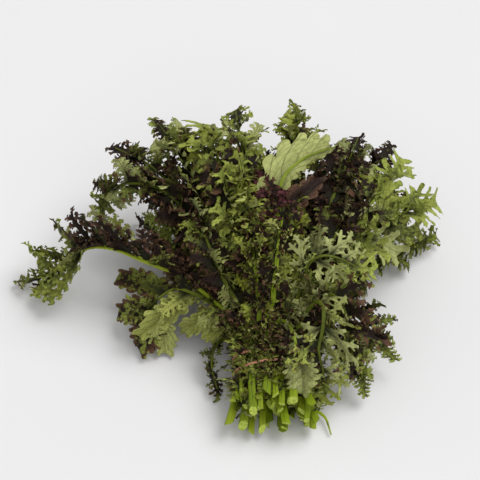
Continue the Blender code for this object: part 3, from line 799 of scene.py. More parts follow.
# %% Cut and scalloped blades
# How a blade of each kind is cut: the number of branches on a side, the middle part's half width
# at the root and near the tip, the gap between branches, the first branch's angle and the turn to
# the next in degrees, its reach and how much shorter the next one is, its width, its forks, the
# length of its twigs, its end's width, how far it rises out of the flat, and whether it is rounded.
Cut = namedtuple("Cut", "count core tip gap first step reach fall width forks twig end rise smooth")

CUTS = {
    "coral": Cut(5, 2.3, 1.2, 0.42, 20, 10, 8.6, 1.0, 3.7, 2, 0.28, 0.85, 0.25, False),
    "frill": Cut(6, 4.3, 1.5, 0.3, 10, 12, 6.0, 0.5, 3.6, 2, 0.26, 0.8, 0.35, False),
    "spray": Cut(5, 3.8, 1.4, 0.3, 12, 13, 6.4, 0.6, 4.2, 1, 0.34, 0.8, 0.35, False),
    "fingers": Cut(3, 3.4, 2.4, 0.3, 26, 14, 11.0, 1.6, 5.6, 1, 0.1, 1.2, 0.12, True),
    "ribbons": Cut(3, 3.2, 1.8, 0.35, 32, 12, 13.0, 1.6, 5.2, 1, 0.24, 0.4, 0.2, False),
    "leaflet": Cut(3, 2.0, 0.9, 0.35, 26, 15, 9.5, 0.8, 4.2, 1, 0.32, 0.7, 0.2, False),
}
ANGLE_SCATTER = 0.15
REACHES = (0.8, 1.15)

# The middle parts of the two kinds that aren't cut, as pairs of a height and the half width there
BROAD_OUTLINE = ((0, 4.0), (5, 5.4), (10, 6.2), (15, 6.4), (20, 6.0), (25, 4.8), (29, 2.8))
WHOLE_OUTLINE = (
    (0, 0.8), (2.5, 3.2), (6, 5.0), (10, 5.9), (14, 6.2), (18, 6.0), (22, 5.2), (25.5, 3.9), (28.5, 1.9)
)


def make_cut(kind, seed):
    """A blade cut into branches that fork."""
    cut = CUTS[kind]
    draw = seeded(500, list(CUTS).index(kind), seed)
    outline = comb(cut)
    blade = start_blade(kind, outline)
    for place in range(cut.count):
        edge = row_edge(outline, 2 * place + 1)
        angle = math.radians(cut.first + cut.step * place)
        angle += draw.uniform(-ANGLE_SCATTER, ANGLE_SCATTER)
        reach = (cut.reach - cut.fall * place) * draw.uniform(*REACHES)
        branch(blade, edge, angle, reach, cut, cut.rise if place % 2 else -cut.rise, draw)
    return finish_blade(blade, cut.smooth)


def make_broad(kind, seed):
    """A broad lobe with a scalloped border."""
    draw = seeded(560, seed)
    blade = start_blade(kind, BROAD_OUTLINE, columns=2)
    for row in range(len(BROAD_OUTLINE) - 1):
        angle = math.radians(4 + 15 * row) + draw.uniform(-0.1, 0.1)
        knob = pull(blade, row_edge(BROAD_OUTLINE, row), angle, draw.uniform(1.2, 3.2), 3.0)
        pull(blade, knob, angle + draw.uniform(-0.3, 0.3), draw.uniform(0.8, 1.6), 1.6)
    return finish_blade(blade, smooth=True)


def make_whole(kind, seed):
    """The undivided blade of a whole leaf, with deep scallops all round."""
    draw = seeded(570, seed)
    blade = start_blade(kind, WHOLE_OUTLINE, columns=4)
    for row in range(len(WHOLE_OUTLINE) - 1):
        angle = math.radians(-24 + 13 * row) + draw.uniform(-ANGLE_SCATTER, ANGLE_SCATTER)
        neck = pull(blade, row_edge(WHOLE_OUTLINE, row), angle, 0.5, 2.9)
        lobe = pull(blade, neck, angle, draw.uniform(0.8, 2.0), 3.1)
        pull(blade, lobe, angle + draw.uniform(-0.3, 0.3), draw.uniform(0.6, 1.2), 1.5)
    return finish_blade(blade, smooth=True)


MAKERS = {**dict.fromkeys(CUTS, make_cut), "broad": make_broad, "whole": make_whole}
VARIETIES = 3
PATTERNS = {kind: [make(kind, seed) for seed in range(VARIETIES)] for kind, make in MAKERS.items()}
for kind, patterns in PATTERNS.items():
    print(kind, [sum(len(face) - 2 for face in pattern.faces) for pattern in patterns])

# %% [markdown]
# ## The stalk, modelled straight
#
# A stalk is a long cylinder with a cut face whose pith is a little sunken. It is modelled once,
# one unit long and one thick. Each leaf gets a copy that is bent along its rib, made as thick as
# the stalk is there, and grooved along its upper side.

# %% Straight stalk
STALK_SIDES = 12
STALK_STEPS = 40

# The rim of the cut face, the ring inside it, and how deep the pith lies
CUT_RIM = 0.12
CUT_RING = 0.3
PITH_DEPTH = 0.0006


def make_stalk():
    """One smooth stalk along Y, its cut end at 0, and which of its faces are the cut."""
    bpy.ops.mesh.primitive_cylinder_add(
        vertices=STALK_SIDES, radius=1, depth=1, location=(0, 0, 0), end_fill_type="NGON"
    )
    stalk = bpy.context.object
    bpy.ops.object.mode_set(mode="EDIT")
    bpy.ops.mesh.select_mode(type="EDGE")
    pick(stalk, "edges", lambda edge: abs(edge.verts[0].co.z - edge.verts[1].co.z) > 0.5)
    bpy.ops.mesh.subdivide(number_cuts=STALK_STEPS - 1)
    bpy.ops.mesh.select_mode(type="FACE")
    pick(stalk, "faces", lambda face: face.normal.z > 0.9)
    bpy.ops.mesh.inset(thickness=CUT_RIM, depth=0)
    bpy.ops.mesh.inset(thickness=CUT_RING, depth=0)
    bpy.ops.transform.translate(value=(0, 0, -PITH_DEPTH))
    bpy.ops.mesh.poke()
    bpy.ops.object.mode_set(mode="OBJECT")
    mesh = stalk.data
    upright = np.array([point.co for point in mesh.vertices])
    points = np.stack([upright[:, 0], 0.5 - upright[:, 2], upright[:, 1]], axis=1)
    faces = [tuple(face.vertices) for face in mesh.polygons]
    ends = [face.normal.z > 0.5 for face in mesh.polygons]
    bpy.data.objects.remove(stalk)
    return Pattern(points, faces, ends)


STALK = make_stalk()
print("stalk faces:", len(STALK.faces))

# %% [markdown]
# ## Bending a flat blade along its lobe
#
# The blade's middle line follows a curve through the lobe's root, middle and tip. Its width runs
# along the rib at the root and turns square to the lobe further out. The margin has more tissue
# than the middle, so it can't lie flat: a wave that grows towards the margin gives the ruffles.
# No two real lobes are alike, so each also sways, twists, cups and droops by its own amount.

# %% Paths and bending
PATH_SHARES = (0.0, LOBE_MIDDLE, 1.0)
FINE_SHARES = np.linspace(-0.1, 1.3, 15)

# The ruffle's waves: how far the left side is out of step with the right one, the fine waves, and
# how the waves grow towards the margin
LEFT_PHASE = 1.9
FINE_WAVES, FINE_SLANT, FINE_HEIGHT = 2.6, 1.4, 0.35
MARGIN_POWER = 1.3
Path = namedtuple("Path", "shares middles wides normals")
Habit = namedtuple("Habit", "ruffle waves phase sway twist cup droop stagger")


def through(rows, wanted):
    """A smooth curve through the three rows at the path's shares."""
    start, middle, end = PATH_SHARES
    near = (wanted - middle) * (wanted - end) / ((start - middle) * (start - end))
    centre = (wanted - start) * (wanted - end) / ((middle - start) * (middle - end))
    far = (wanted - start) * (wanted - middle) / ((end - start) * (end - middle))
    return near[:, None] * rows[0] + centre[:, None] * rows[1] + far[:, None] * rows[2]


def make_path(middles, normals, halves, along_rib=None):
    """A path with square widths, the first one along the rib if that is given."""
    middles, normals = np.array(middles), unit(normals)
    first, last = middles[1] - middles[0], middles[2] - middles[1]
    headings = unit(np.array([first, middles[2] - middles[0], last]))
    wides = unit(np.cross(headings, normals))
    if along_rib is not None:
        wides[0] = along_rib if along_rib @ wides[0] > 0 else -along_rib
    wides = wides * np.array(halves)[:, None]
    wides, normals = (between(PATH_SHARES, rows, FINE_SHARES) for rows in (wides, normals))
    return Path(FINE_SHARES, through(middles, FINE_SHARES), wides, normals)


def draw_habit(draw, ruffle):
    """How one blade departs from the pattern."""
    return Habit(
        ruffle=ruffle * draw.uniform(0.7, 1.3),
        waves=draw.uniform(1.8, 3.2),
        phase=draw.uniform(0, 6.3),
        sway=draw.uniform(-0.5, 0.5),
        twist=draw.uniform(-1.0, 1.0),
        cup=draw.uniform(-3.0, 5.0),
        droop=draw.uniform(-7.0, 4.0),
        stagger=draw.uniform(-0.08, 0.08),
    )


def bend(pattern, path, habit, flip, fold, sides):
    """The pattern's points along the path, with a ruffled margin."""
    across = pattern.points[:, 0] / BLADE_HALF
    along = pattern.points[:, 1] / BLADE_LENGTH
    out = np.abs(across)
    left = across < 0
    along = along + habit.stagger * np.where(left, 1, -1) * np.clip(out * 3, 0, 1)
    wave = 2 * math.pi * habit.waves * along + habit.phase + np.where(left, LEFT_PHASE, 0)
    fine_wave = 2 * math.pi * (FINE_WAVES * habit.waves * along + FINE_SLANT * across) + 2 * habit.phase
    lift = pattern.points[:, 2] + habit.cup * out**2 + habit.droop * along**2
    fine = FINE_HEIGHT * np.clip(2 * out, 0, 1) * np.sin(fine_wave)
    lift += habit.ruffle * (out**MARGIN_POWER * np.sin(wave) + fine)
    across = across * np.where(left, *sides)
    wide = between(path.shares, path.wides, along)
    size = np.linalg.norm(wide, axis=1)
    level, normal = unit(wide), unit(between(path.shares, path.normals, along))
    if flip:
        level, normal = -level, -normal
    turn = (habit.twist * along)[:, None]
    level, normal = (
        level * np.cos(turn) + normal * np.sin(turn),
        normal * np.cos(turn) - level * np.sin(turn),
    )
    shift = (across * math.cos(fold) + habit.sway * along**2) * size
    lift = lift + np.abs(across) * size * math.sin(fold)
    middle = between(path.shares, path.middles, along)
    return middle + level * shift[:, None] + normal * lift[:, None]


# %% [markdown]
# ## Gathering one leaf
#
# A leaf grew as one piece, so its stalk and all its blades become one mesh. Each point carries its
# place on the blade, for the veins, and a tint of three amounts: purple, pale and yellow. What
# would reach below the table lies on it instead.

# %% Gathering points and faces
UPPER, UNDER, STALK_SKIN, CUT_FACE = range(4)
TABLE_EASE = 2.0


class Foliage:
    """The points, faces and marks of one leaf while it is put together."""

    def __init__(self):
        self.points, self.faces, self.finishes, self.marks, self.tints = [], [], [], [], []
        self.count = 0

    def add(self, points, faces, finishes, marks, tints):
        """Adds a part of the leaf, with a finish for each face and a mark and tint for each point."""
        self.faces += [tuple(self.count + corner for corner in face) for face in faces]
        self.finishes += finishes
        self.points.append(points)
        self.marks.append(marks)
        self.tints.append(tints)
        self.count += len(points)

    def make(self, name, materials):
        """The finished object, in metres."""
        points = np.concatenate(self.points)
        low = points[:, 2] < TABLE_EASE
        points[low, 2] = TABLE_EASE * np.exp(points[low, 2] / TABLE_EASE - 1)
        mesh = bpy.data.meshes.new(name)
        mesh.from_pydata(points * MM, [], self.faces)
        for material in materials:
            mesh.materials.append(material)
        mesh.polygons.foreach_set("material_index", self.finishes)
        corners = np.zeros(len(mesh.loops), dtype=np.int32)
        mesh.loops.foreach_get("vertex_index", corners)
        layer = mesh.uv_layers.new(name="blade")
        layer.data.foreach_set("uv", np.concatenate(self.marks)[corners].ravel())
        tint = mesh.color_attributes.new("tint", "FLOAT_COLOR", "POINT")
        colours = np.concatenate(self.tints)
        tint.data.foreach_set("color", np.hstack([colours, np.ones((len(colours), 1))]).ravel())
        mesh.update()
        made = bpy.data.objects.new(name, mesh)
        bpy.context.scene.collection.objects.link(made)
        return made


# %% [markdown]
# ## What each leaf looks like
#
# The leaves differ a lot: some are dark and finely frilled, some end in long green fingers, and
# some lie with the pale underside up. kind is how the blades are cut. near and far are how purple
# the lobes next to the stalk and those at the tip are, ends is what the ends of the branches add,
# and pale and yellow are how fresh and how yellow the green is. flip names the sides whose
# underside shows, and ruffle is how far the margins wave. crest is the share of lobes that carry a
# second, raised blade, second is the kind of those blades, and leaflets is how closely leaflets
# stand on the stalk. growth is the blades' length, lifted turns one side's lobes up over the rib,
# which leaves the rib bare, and rib is how dull the rib is.

# %% Looks
Look = namedtuple(
    "Look",
    "kind near far ends pale yellow flip ruffle crest leaflets growth lifted rib second",
    defaults=(0.1, 0.1, 0.05, (), 2.2, 1.0, 1.0, 1.0, None, 0.7, "spray"),
)
BOTH = ("left", "right")

LOOKS = {
    "leaf_left_arching": Look(
        "coral", 0.6, 1.2, 0.1, 0.3, 0.15, (), 2.8, 0.8, growth=1.1, lifted="left", rib=0.0
    ),
    "leaf_left_broad": Look(
        "broad", 0.7, 0.4, 0.15, 0.8, 0.4, ("left",), 2.6, 0.8, growth=1.4, rib=0.6, second="frill"
    ),
    "leaf_upper_left": Look(
        "frill", 0.85, 0.4, 0.0, 0.4, 0.1, (), 2.2, 0.8, growth=0.9, second="fingers"
    ),
    "leaf_upper_left_fingers": Look(
        "frill", 0.9, 0.8, -0.3, 0.4, 0.1, (), 2.0, growth=0.9, second="fingers"
    ),
    "leaf_right_spread": Look(
        "fingers", 0.35, 0.0, -0.2, 1.0, 0.0, (), 1.2, 0.8, growth=0.85, rib=0.0, second="frill"
    ),
    "leaf_right_raised": Look(
        "fingers", 0.8, 0.2, -0.3, 0.9, 0.0, (), 1.2, 0.8, growth=0.9, rib=0.3, second="frill"
    ),
    "leaf_top_pale": Look("whole", 0.0, 0.0, 0.1, 1.0, 0.1, BOTH, 2.0, 0.0, 0.6, rib=0.3),
    "leaf_top_curled": Look(
        "broad", 1.0, 1.0, 0.0, 0.0, 1.0, (), 3.0, 0.8, 0.4, 1.1, second="broad"
    ),
    "leaf_top_purple": Look("whole", 1.3, 1.3, 0.1, 0.5, 0.55, (), 3.2, 0.0, 0.4, rib=1.0),
    "leaf_top_yellow": Look(
        "ribbons", 0.8, 0.1, -0.2, 0.9, 0.3, (), 1.4, 0.5, 1.2, 0.6, second="ribbons"
    ),
    "leaf_front": Look("frill", 0.75, 0.5, -0.2, 0.7, 0.35, (), 2.2, 0.5, 0.3, 0.8, None, 0.0),
    "leaf_front_left": Look("frill", 0.75, 0.6, -0.2, 0.5, 0.4, (), 2.2, 0.6, 0.6, 0.9, None, 0.1),
    "leaf_middle_pale": Look("ribbons", 0.5, 0.1, -0.2, 0.9, 0.0, ("left",), 1.3, 0.5, 1.3, 0.9),
    "leaf_hanging_inner": Look("ribbons", 0.9, 0.6, -0.3, 0.9, 0.1, ("left",), 1.5, 0.5, 1.3),
    "leaf_hanging_outer": Look("ribbons", 1.0, 0.8, -0.4, 0.7, 0.1, (), 1.5, 0.7, 1.3),
    "leaf_right_low": Look("frill", 0.95, 0.8, -0.7, 0.6, 0.05, crest=0.8, second="fingers"),
    "leaf_right_lowest": Look(
        "frill", 0.9, 0.8, -0.9, 0.7, 0.0, (), 1.4, 0.8, growth=0.9, second="fingers"
    ),
    "leaf_left_tuft": Look("spray", 0.6, 0.5, -0.2, 0.3, 0.05, crest=0.3, leaflets=0.6, growth=0.45),
    "leaf_folded_pale": Look("whole", 0.0, 0.0, 0.0, 1.0, 0.0, BOTH, 3.0, 0.0, 0.6, rib=0.2),
    "leaf_top_fingers": Look(
        "fingers", 0.95, 0.6, -0.5, 0.9, 0.1, (), 1.3, growth=0.95, second="fingers"
    ),
    "leaf_top_fingers_right": Look(
        "frill", 0.9, 0.75, -0.6, 0.9, 0.1, (), 1.3, 0.4, growth=0.82, second="fingers"
    ),
    "leaf_left_upright": Look("frill", 0.8, 0.5, -0.2, 0.4, 0.15, crest=0.7),
    "leaf_top_spiky": Look(
        "frill", 1.0, 0.1, -0.5, 0.8, 0.3, (), 1.6, 0.7, growth=1.3, second="fingers"
    ),
    "leaf_top_right": Look("frill", 0.85, 0.75, 0.0, 0.3, 0.0),
    "leaf_top_right_outer": Look("frill", 0.85, 0.6, -0.1, 0.4, 0.05, crest=0.7),
    "leaf_top_left": Look(
        "frill", 0.95, 0.8, -0.5, 0.6, 0.1, (), 1.6, 0.7, growth=0.95, second="fingers"
    ),
    "leaf_centre_right": Look("frill", 0.9, 0.7, -0.2, 0.5, 0.15, crest=0.7),
    "leaf_left_inner": Look("frill", 0.45, 0.3, -0.1, 0.5, 0.15, crest=0.6),
    "leaf_tier_1_6": Look(
        "spray", 0.4, 0.1, 0.0, 0.4, 0.1, crest=0.5, leaflets=0.3, growth=0.6, rib=0.3
    ),
    "leaf_tier_3_2": Look("spray", 1.0, 0.7, -0.1, 0.3, 0.2, crest=0.5, leaflets=0.3, growth=1.4),
    "leaf_tier_3_3": Look("frill", 1.0, 0.8, -0.1, 0.3, 0.2, crest=0.5, leaflets=0.3, growth=1.6),
}


def tier_look(place):
    """A filling leaf's look, drawn by seed."""
    draw = seeded(700 + place)
    near = draw.uniform(0.55, 1.0)
    far = near + draw.uniform(-0.4, 0.0)
    yellow = draw.uniform(0, 0.2)
    return Look("spray", near, far, -0.1, 0.2, yellow, crest=0.35, leaflets=0.25, growth=0.75)


# %% [markdown]
# ## Colours of a leaf
#
# The upper side is a mosaic of brown-purple and olive green that changes from one twig to the
# next, with fresh green where the blade is young. The underside is a light grey-green with darker
# veins. Both sides get painted shade that darkens each blade towards its rib. Colours and patterns
# come from nodes that read the tint and the blade's own map, so they follow each blade wherever it
# bends.

# %% A finish and the patterns that feed it
class Finish:
    """A material with a Principled shader, and short ways to add the nodes that feed it."""

    def __init__(self, name, roughness, specular):
        self.material = bpy.data.materials.new(name)
        self.material.use_nodes = True
        self.tree = self.material.node_tree
        self.shader = self.tree.nodes["Principled BSDF"]
        self.shader.inputs["Roughness"].default_value = roughness
        self.shader.inputs["Specular IOR Level"].default_value = specular

    def add(self, kind, inputs=(), **settings):
        """A node with its settings, its inputs given by socket name or number."""
        made = self.tree.nodes.new(kind)
        for name, value in settings.items():
            setattr(made, name, value)
        for socket, value in dict(inputs).items():
            if isinstance(value, bpy.types.NodeSocket):
                self.tree.links.new(value, made.inputs[socket])
            else:
                made.inputs[socket].default_value = value
        return made

    def mix(self, share, first, second):
        """A blend of two colours."""
        first, second = ((*c, 1) if isinstance(c, tuple) else c for c in (first, second))
        made = self.add("ShaderNodeMix", {0: share, 6: first, 7: second}, data_type="RGBA")
        return made.outputs[2]

    def math(self, operation, *values):
        """A sum, a product or the like of values and sockets."""
        made = self.add("ShaderNodeMath", dict(enumerate(values)), operation=operation)
        return made.outputs[0]

    def times(self, value, factor, rest=0.0):
        """A value times a factor, with the rest added."""
        return self.math("MULTIPLY_ADD", value, factor, rest)

    def step(self, value, low, high):
        """0 below low, 1 above high, and a smooth rise between them."""
        made = self.add(
            "ShaderNodeMapRange",
            {"Value": value, "From Min": low, "From Max": high},
            interpolation_type="SMOOTHSTEP",
        )
        return made.outputs["Result"]

    def noise(self, scale, detail, where=None):
        """A noise over the object's own coordinates, in metres, or over another place."""
        where = where or self.add("ShaderNodeTexCoord").outputs["Object"]
        made = self.add("ShaderNodeTexNoise", {"Vector": where, "Scale": scale, "Detail": detail})
        return made.outputs["Fac"]

    def tints(self):
        """The purple, pale and yellow amounts."""
        colour = self.add("ShaderNodeAttribute", attribute_name="tint").outputs["Color"]
        parts = self.add("ShaderNodeSeparateColor", {"Color": colour}).outputs
        return parts["Red"], parts["Green"], parts["Blue"]

    def blade_place(self):
        """The place on the blade's own map."""
        return self.add("ShaderNodeUVMap", uv_map="blade").outputs["UV"]

    def blade_map(self):
        """The place across the blade, counted from its middle to both sides, and along it."""
        parts = self.add("ShaderNodeSeparateXYZ", {"Vector": self.blade_place()}).outputs
        return self.math("ABSOLUTE", parts["X"]), parts["Y"]

    def veins(self, count):
        """1 along the midrib and the side veins that lean forward from it, 0 between them."""
        across, along = self.blade_map()
        slanted = self.times(across, -0.42, along)
        saw = self.math("FRACT", self.times(slanted, count))
        side = self.step(self.math("ABSOLUTE", self.math("SUBTRACT", saw, 0.5)), 0.06, 0.01)
        mid = self.step(across, 0.06, 0.02)
        return self.math("MAXIMUM", side, mid)

    def net(self, scale):
        """1 along a net of fine veins, 0 in its meshes."""
        inputs = {"Vector": self.blade_place(), "Scale": scale}
        cells = self.add("ShaderNodeTexVoronoi", inputs, feature="DISTANCE_TO_EDGE")
        return self.step(cells.outputs["Distance"], 0.07, 0.01)

    def ends(self):
        """0 near the rib and 1 at the ends of the branches."""
        across, along = self.blade_map()
        outward = self.times(across, 0.75, self.times(along, 0.55))
        return self.step(outward, 0.45, 1.15)

    def paint_rib_shade(self, colour):
        """The colour with painted shade, darker towards the rib."""
        across, along = self.blade_map()
        outward = self.times(across, 0.6, along)
        return self.mix(self.step(outward, 0.75, 0.05), colour, PAINTED_RIB_SHADE)

    def bump(self, height, distance):
        """Lets a height show as relief."""
        made = self.add("ShaderNodeBump", {"Height": height, "Distance": distance})
        self.tree.links.new(made.outputs["Normal"], self.shader.inputs["Normal"])

    def colour(self, socket):
        """Gives the surface its colour."""
        self.tree.links.new(socket, self.shader.inputs["Base Color"])


# %% Leaf and stalk finishes
OLIVE = (0.070, 0.078, 0.010)
OLIVE_DARK = (0.013, 0.016, 0.005)
PURPLE = (0.015, 0.008, 0.006)
RUST = (0.125, 0.064, 0.036)
MAGENTA = (0.17, 0.055, 0.06)
FRESH = (0.38, 0.44, 0.085)
YELLOW = (0.36, 0.38, 0.025)
PALE_UNDER = (0.48, 0.52, 0.20)
DULL_UNDER = (0.075, 0.090, 0.017)
VEIN_PURPLE = (0.085, 0.045, 0.03)
STAIN = (0.05, 0.03, 0.02)
# Painted shade that darkens each blade towards its rib
PAINTED_RIB_SHADE = (0.016, 0.018, 0.007)
LIME = (0.38, 0.54, 0.008)
# Dark lime: the vessels of the cut face, and in the stalk's grooves partly painted shade
LIME_DARK = (0.045, 0.085, 0.003)
PITH = (0.55, 0.66, 0.10)
RIDGES_AROUND = 9.0


def upper_side():
    """The dark upper side."""
    finish = Finish("leaf upper side", 0.6, 0.12)
    purple, pale, yellow = finish.tints()
    patches = finish.noise(110, 2)
    flecks = finish.noise(330, 2)
    fine = finish.noise(1100, 2)
    ends = finish.ends()
    share = finish.times(patches, 1.1, finish.math("SUBTRACT", purple, 0.95))
    share = finish.times(flecks, 0.9, share)
    green = finish.mix(finish.step(flecks, 0.38, 0.6), OLIVE_DARK, OLIVE)
    fresh = finish.times(flecks, 1.5, finish.times(ends, 0.45, pale))
    green = finish.mix(finish.step(fresh, 0.85, 2.2), green, FRESH)
    green = finish.mix(finish.times(yellow, finish.step(patches, 0.35, 0.6)), green, YELLOW)
    rust = finish.times(ends, 0.7, finish.math("SUBTRACT", fine, 0.3))
    brown = finish.mix(finish.step(rust, 0.2, 1.0), PURPLE, RUST)
    veins = finish.veins(7)
    green = finish.mix(finish.times(finish.net(9), 0.5), green, OLIVE_DARK)
    green = finish.mix(finish.times(veins, 0.3), green, FRESH)
    colour = finish.mix(finish.step(share, 0.38, 0.62), green, brown)
    rosy = finish.step(finish.times(purple, yellow), 0.6, 0.9)
    colour = finish.mix(rosy, colour, finish.mix(finish.step(flecks, 0.3, 0.7), PURPLE, MAGENTA))
    # Painted shade: darker towards the rib
    finish.colour(finish.paint_rib_shade(colour))
    finish.bump(finish.times(veins, -0.8, fine), 0.0004)
    return finish.material


def under_side():
    """The pale underside, with purple veins."""
    finish = Finish("leaf underside", 0.65, 0.12)
    purple, pale, yellow = finish.tints()
    flecks = finish.noise(260, 3)
    fine = finish.noise(900, 2)
    light = finish.times(finish.ends(), 0.3, pale)
    light = finish.times(flecks, 0.9, light)
    colour = finish.mix(finish.step(light, 0.35, 1.45), DULL_UNDER, PALE_UNDER)
    colour = finish.mix(yellow, colour, YELLOW)
    stained = finish.step(finish.times(flecks, 0.9, purple), 0.95, 1.4)
    colour = finish.mix(stained, colour, STAIN)
    veins = finish.math("MAXIMUM", finish.veins(5), finish.times(finish.net(7), 0.5))
    colour = finish.mix(finish.times(veins, 0.4), colour, VEIN_PURPLE)
    # Painted shade: darker towards the rib
    finish.colour(finish.paint_rib_shade(colour))
    finish.bump(finish.math("ADD", fine, veins), 0.0005)
    return finish.material


def stalk_skin():
    """Bright green, ridged along the stalk, its grooves darker green, partly the stalk's own stripes
    and partly painted shade, duller and purple towards some tips.
    """
    finish = Finish("stalk skin", 0.45, 0.2)
    purple, pale, yellow = finish.tints()
    around, along = finish.blade_map()
    narrowed = finish.times(around, RIDGES_AROUND)
    stretched = finish.add("ShaderNodeCombineXYZ", {"X": narrowed, "Y": along}).outputs["Vector"]
    ridges = finish.noise(2.6, 2, stretched)
    mottled = finish.noise(160, 3)
    # Darker green in the grooves: partly the stalk's own stripes, partly painted shade in the recesses
    colour = finish.mix(finish.step(ridges, 0.35, 0.65), LIME_DARK, LIME)
    colour = finish.mix(finish.times(pale, finish.step(mottled, 0.3, 0.8)), colour, PITH)
    colour = finish.mix(finish.times(yellow, 0.6), colour, YELLOW)
    colour = finish.mix(purple, colour, OLIVE)
    stained = finish.step(finish.times(mottled, 0.8, purple), 1.0, 1.5)
    colour = finish.mix(stained, colour, PURPLE)
    finish.colour(colour)
    finish.bump(ridges, 0.0006)
    return finish.material


def cut_face():
    """The pale, wet cut, darker where its vessels are."""
    finish = Finish("cut face", 0.45, 0.2)
    grain = finish.noise(700, 3)
    worn = finish.times(finish.step(grain, 0.35, 0.7), 0.55)
    finish.colour(finish.mix(worn, PITH, LIME_DARK))
    finish.bump(grain, 0.0003)
    return finish.material


LEAF_FINISHES = [upper_side(), under_side(), stalk_skin(), cut_face()]
print("finishes:", [material.name for material in LEAF_FINISHES])

# %% [markdown]
# ## Putting the leaves together
#
# Each lobe takes one of its kind's varieties, as wide as the gap between two lobes so that the
# leaf closes up along its rib. Many lobes carry a second, shorter blade that stands up from the
# first, because a frilled margin folds over itself. The rib ends in one more blade, so that it
# doesn't stick out bare.

# %% Blades of one leaf
# How far the three tints scatter from blade to blade, how much of its purple an underside keeps,
# how far a blade's root goes into the rib, and the share of lobes that turn their underside up
TINT_SCATTER = (0.2, 0.22, 0.08)
UNDERSIDE_PURPLE = 0.5
ROOT_SINK = 0.6
TURNED_SHARE = 0.18

# The ranges that a blade's growth and a raised blade's extra fold and length are drawn from
BLADE_GROWTHS = (0.8, 1.15)
CREST_FOLDS = (28, 62)
CREST_LENGTHS = (0.55, 0.8)

# On a leaf with one side lifted, the lobes past this place make its drooping green tip
LIFTED_UNTIL = 0.7
LIFTED_FOLD = 115
LIFTED_SCATTER = 25
TIP_KIND = "frill"
TIP_GROWTH = 1.35
TIP_TINTS = {"near": -0.1, "far": -0.1, "pale": 0.6}

# The reach of the blade at the end of the rib, as a share of the leaf's lobe width
END_REACH = {
    "leaf_top_fingers_right": 0.2,
    "leaf_top_spiky": 0.5,
    "leaf_tier_1_6": 0.2,
    "leaf_tier_3_2": 1.8,
    "leaf_tier_3_3": 3.8,
}


def add_blade(foliage, kind, path, look, draw, place, underside=False, fold=0.0, sides=(1.0, 1.0)):
    """Adds one bent blade of a kind to a leaf, at a place from 0 at the stalk to 1 at the tip."""
    pattern = PATTERNS[kind][draw.integers(VARIETIES)]
    points = bend(pattern, path, draw_habit(draw, look.ruffle), underside, fold, sides)
    across = pattern.points[:, 0] / BLADE_HALF
    along = pattern.points[:, 1] / BLADE_LENGTH
    outness = np.clip(np.hypot(across * 0.75, along), 0, 1)
    shift = draw.normal(0, TINT_SCATTER)
    tints = np.empty((len(points), 3))
    purple = look.near + (look.far - look.near) * place**2 + look.ends * outness + shift[0]
    tints[:, 0] = purple * (UNDERSIDE_PURPLE if underside else 1)
    tints[:, 1] = look.pale * (0.4 + 0.6 * place) + shift[1] + 0.5 * draw.uniform(0, 1) ** 3
    tints[:, 2] = look.yellow + shift[2]
    marks = np.stack([across, along], axis=1)
    finishes = [UNDER if under else UPPER for under in pattern.under]
    foliage.add(points, pattern.faces, finishes, marks, np.clip(tints, 0, 1))


def lobe_path(rib, pair, sections, growth):
    """The path of a blade that covers one lobe of the solid, grown by a factor from its root."""
    root, middle, tip = sections
    centres = np.array([section.mean(axis=0) for section in sections])
    ring = PETIOLE_RINGS + pair
    axis_point = (rib.middles[ring] + rib.middles[ring + 1]) / 2
    centres[0] += ROOT_SINK * (axis_point - centres[0])
    centres[1:] = centres[0] + growth * (centres[1:] - centres[0])
    along_rib = root[1] - root[0]
    spacing = np.linalg.norm(along_rib)
    half = max(0.7 * np.linalg.norm(middle[1] - middle[0]), 0.6 * spacing)
    normals = np.array([rib.faces[ring], middle[0] - middle[3], tip[0] - tip[3]])
    return make_path(centres, normals, (0.6 * spacing, half, half), unit(along_rib))


def end_path(rib):
    """The path of the blade at the end of the rib."""
    reach = rib.leaf.width * END_REACH.get(rib.leaf.name, 1.0)
    middles = [rib.middles[-3], rib.middles[-1], rib.middles[-1] + rib.tangents[-1] * reach]
    half = rib.leaf.width * 0.95
    return make_path(middles, rib.faces[-3:], (half, half, half))


def add_lobes(foliage, rib, look, draw):
    """The blades on the leaf's lobes, their crests, and the blade at its end."""
    for lobe in LOBES[rib.leaf.name]:
        side = "right" if lobe.right else "left"
        place = (lobe.pair + 0.5) / rib.leaf.pairs
        growth = look.growth * (1.25 - 0.1 * place) * draw.uniform(*BLADE_GROWTHS)
        sections = lobe.sections
        is_lifted = side == look.lifted and place < LIFTED_UNTIL
        kind = look.kind
        if look.lifted and place > LIFTED_UNTIL:
            kind = TIP_KIND
            growth *= TIP_GROWTH
            look = look._replace(**TIP_TINTS)
        if is_lifted:
            sections = rib.lobe(lobe.pair, lobe.right, LIFTED_FOLD, lobe.length)
        path = lobe_path(rib, lobe.pair, sections, growth)
        underside = side in look.flip or draw.uniform() < TURNED_SHARE
        add_blade(foliage, kind, path, look, draw, place, underside)
        if draw.uniform() < look.crest:
            fold = lobe.fold + draw.uniform(*CREST_FOLDS)
            if is_lifted:
                fold = LIFTED_FOLD + draw.uniform(-LIFTED_SCATTER, LIFTED_SCATTER)
            length = lobe.length * draw.uniform(*CREST_LENGTHS) * look.growth
            path = lobe_path(rib, lobe.pair, rib.lobe(lobe.pair, lobe.right, fold, length), 1.0)
            add_blade(foliage, look.second, path, look, draw, place, side in look.flip)
    add_blade(foliage, look.kind, end_path(rib), look, draw, 1.0, look.flip == BOTH)


# %% [markdown]
# ## Leaflets
#
# The stalk below the first lobes isn't bare on the real plants: small leaflets stand along it, and
# they get larger towards the blade. They are bent like the lobes, from a kind of blade of their
# own. A few more stand near the cut ends, and those round the band hide part of it.

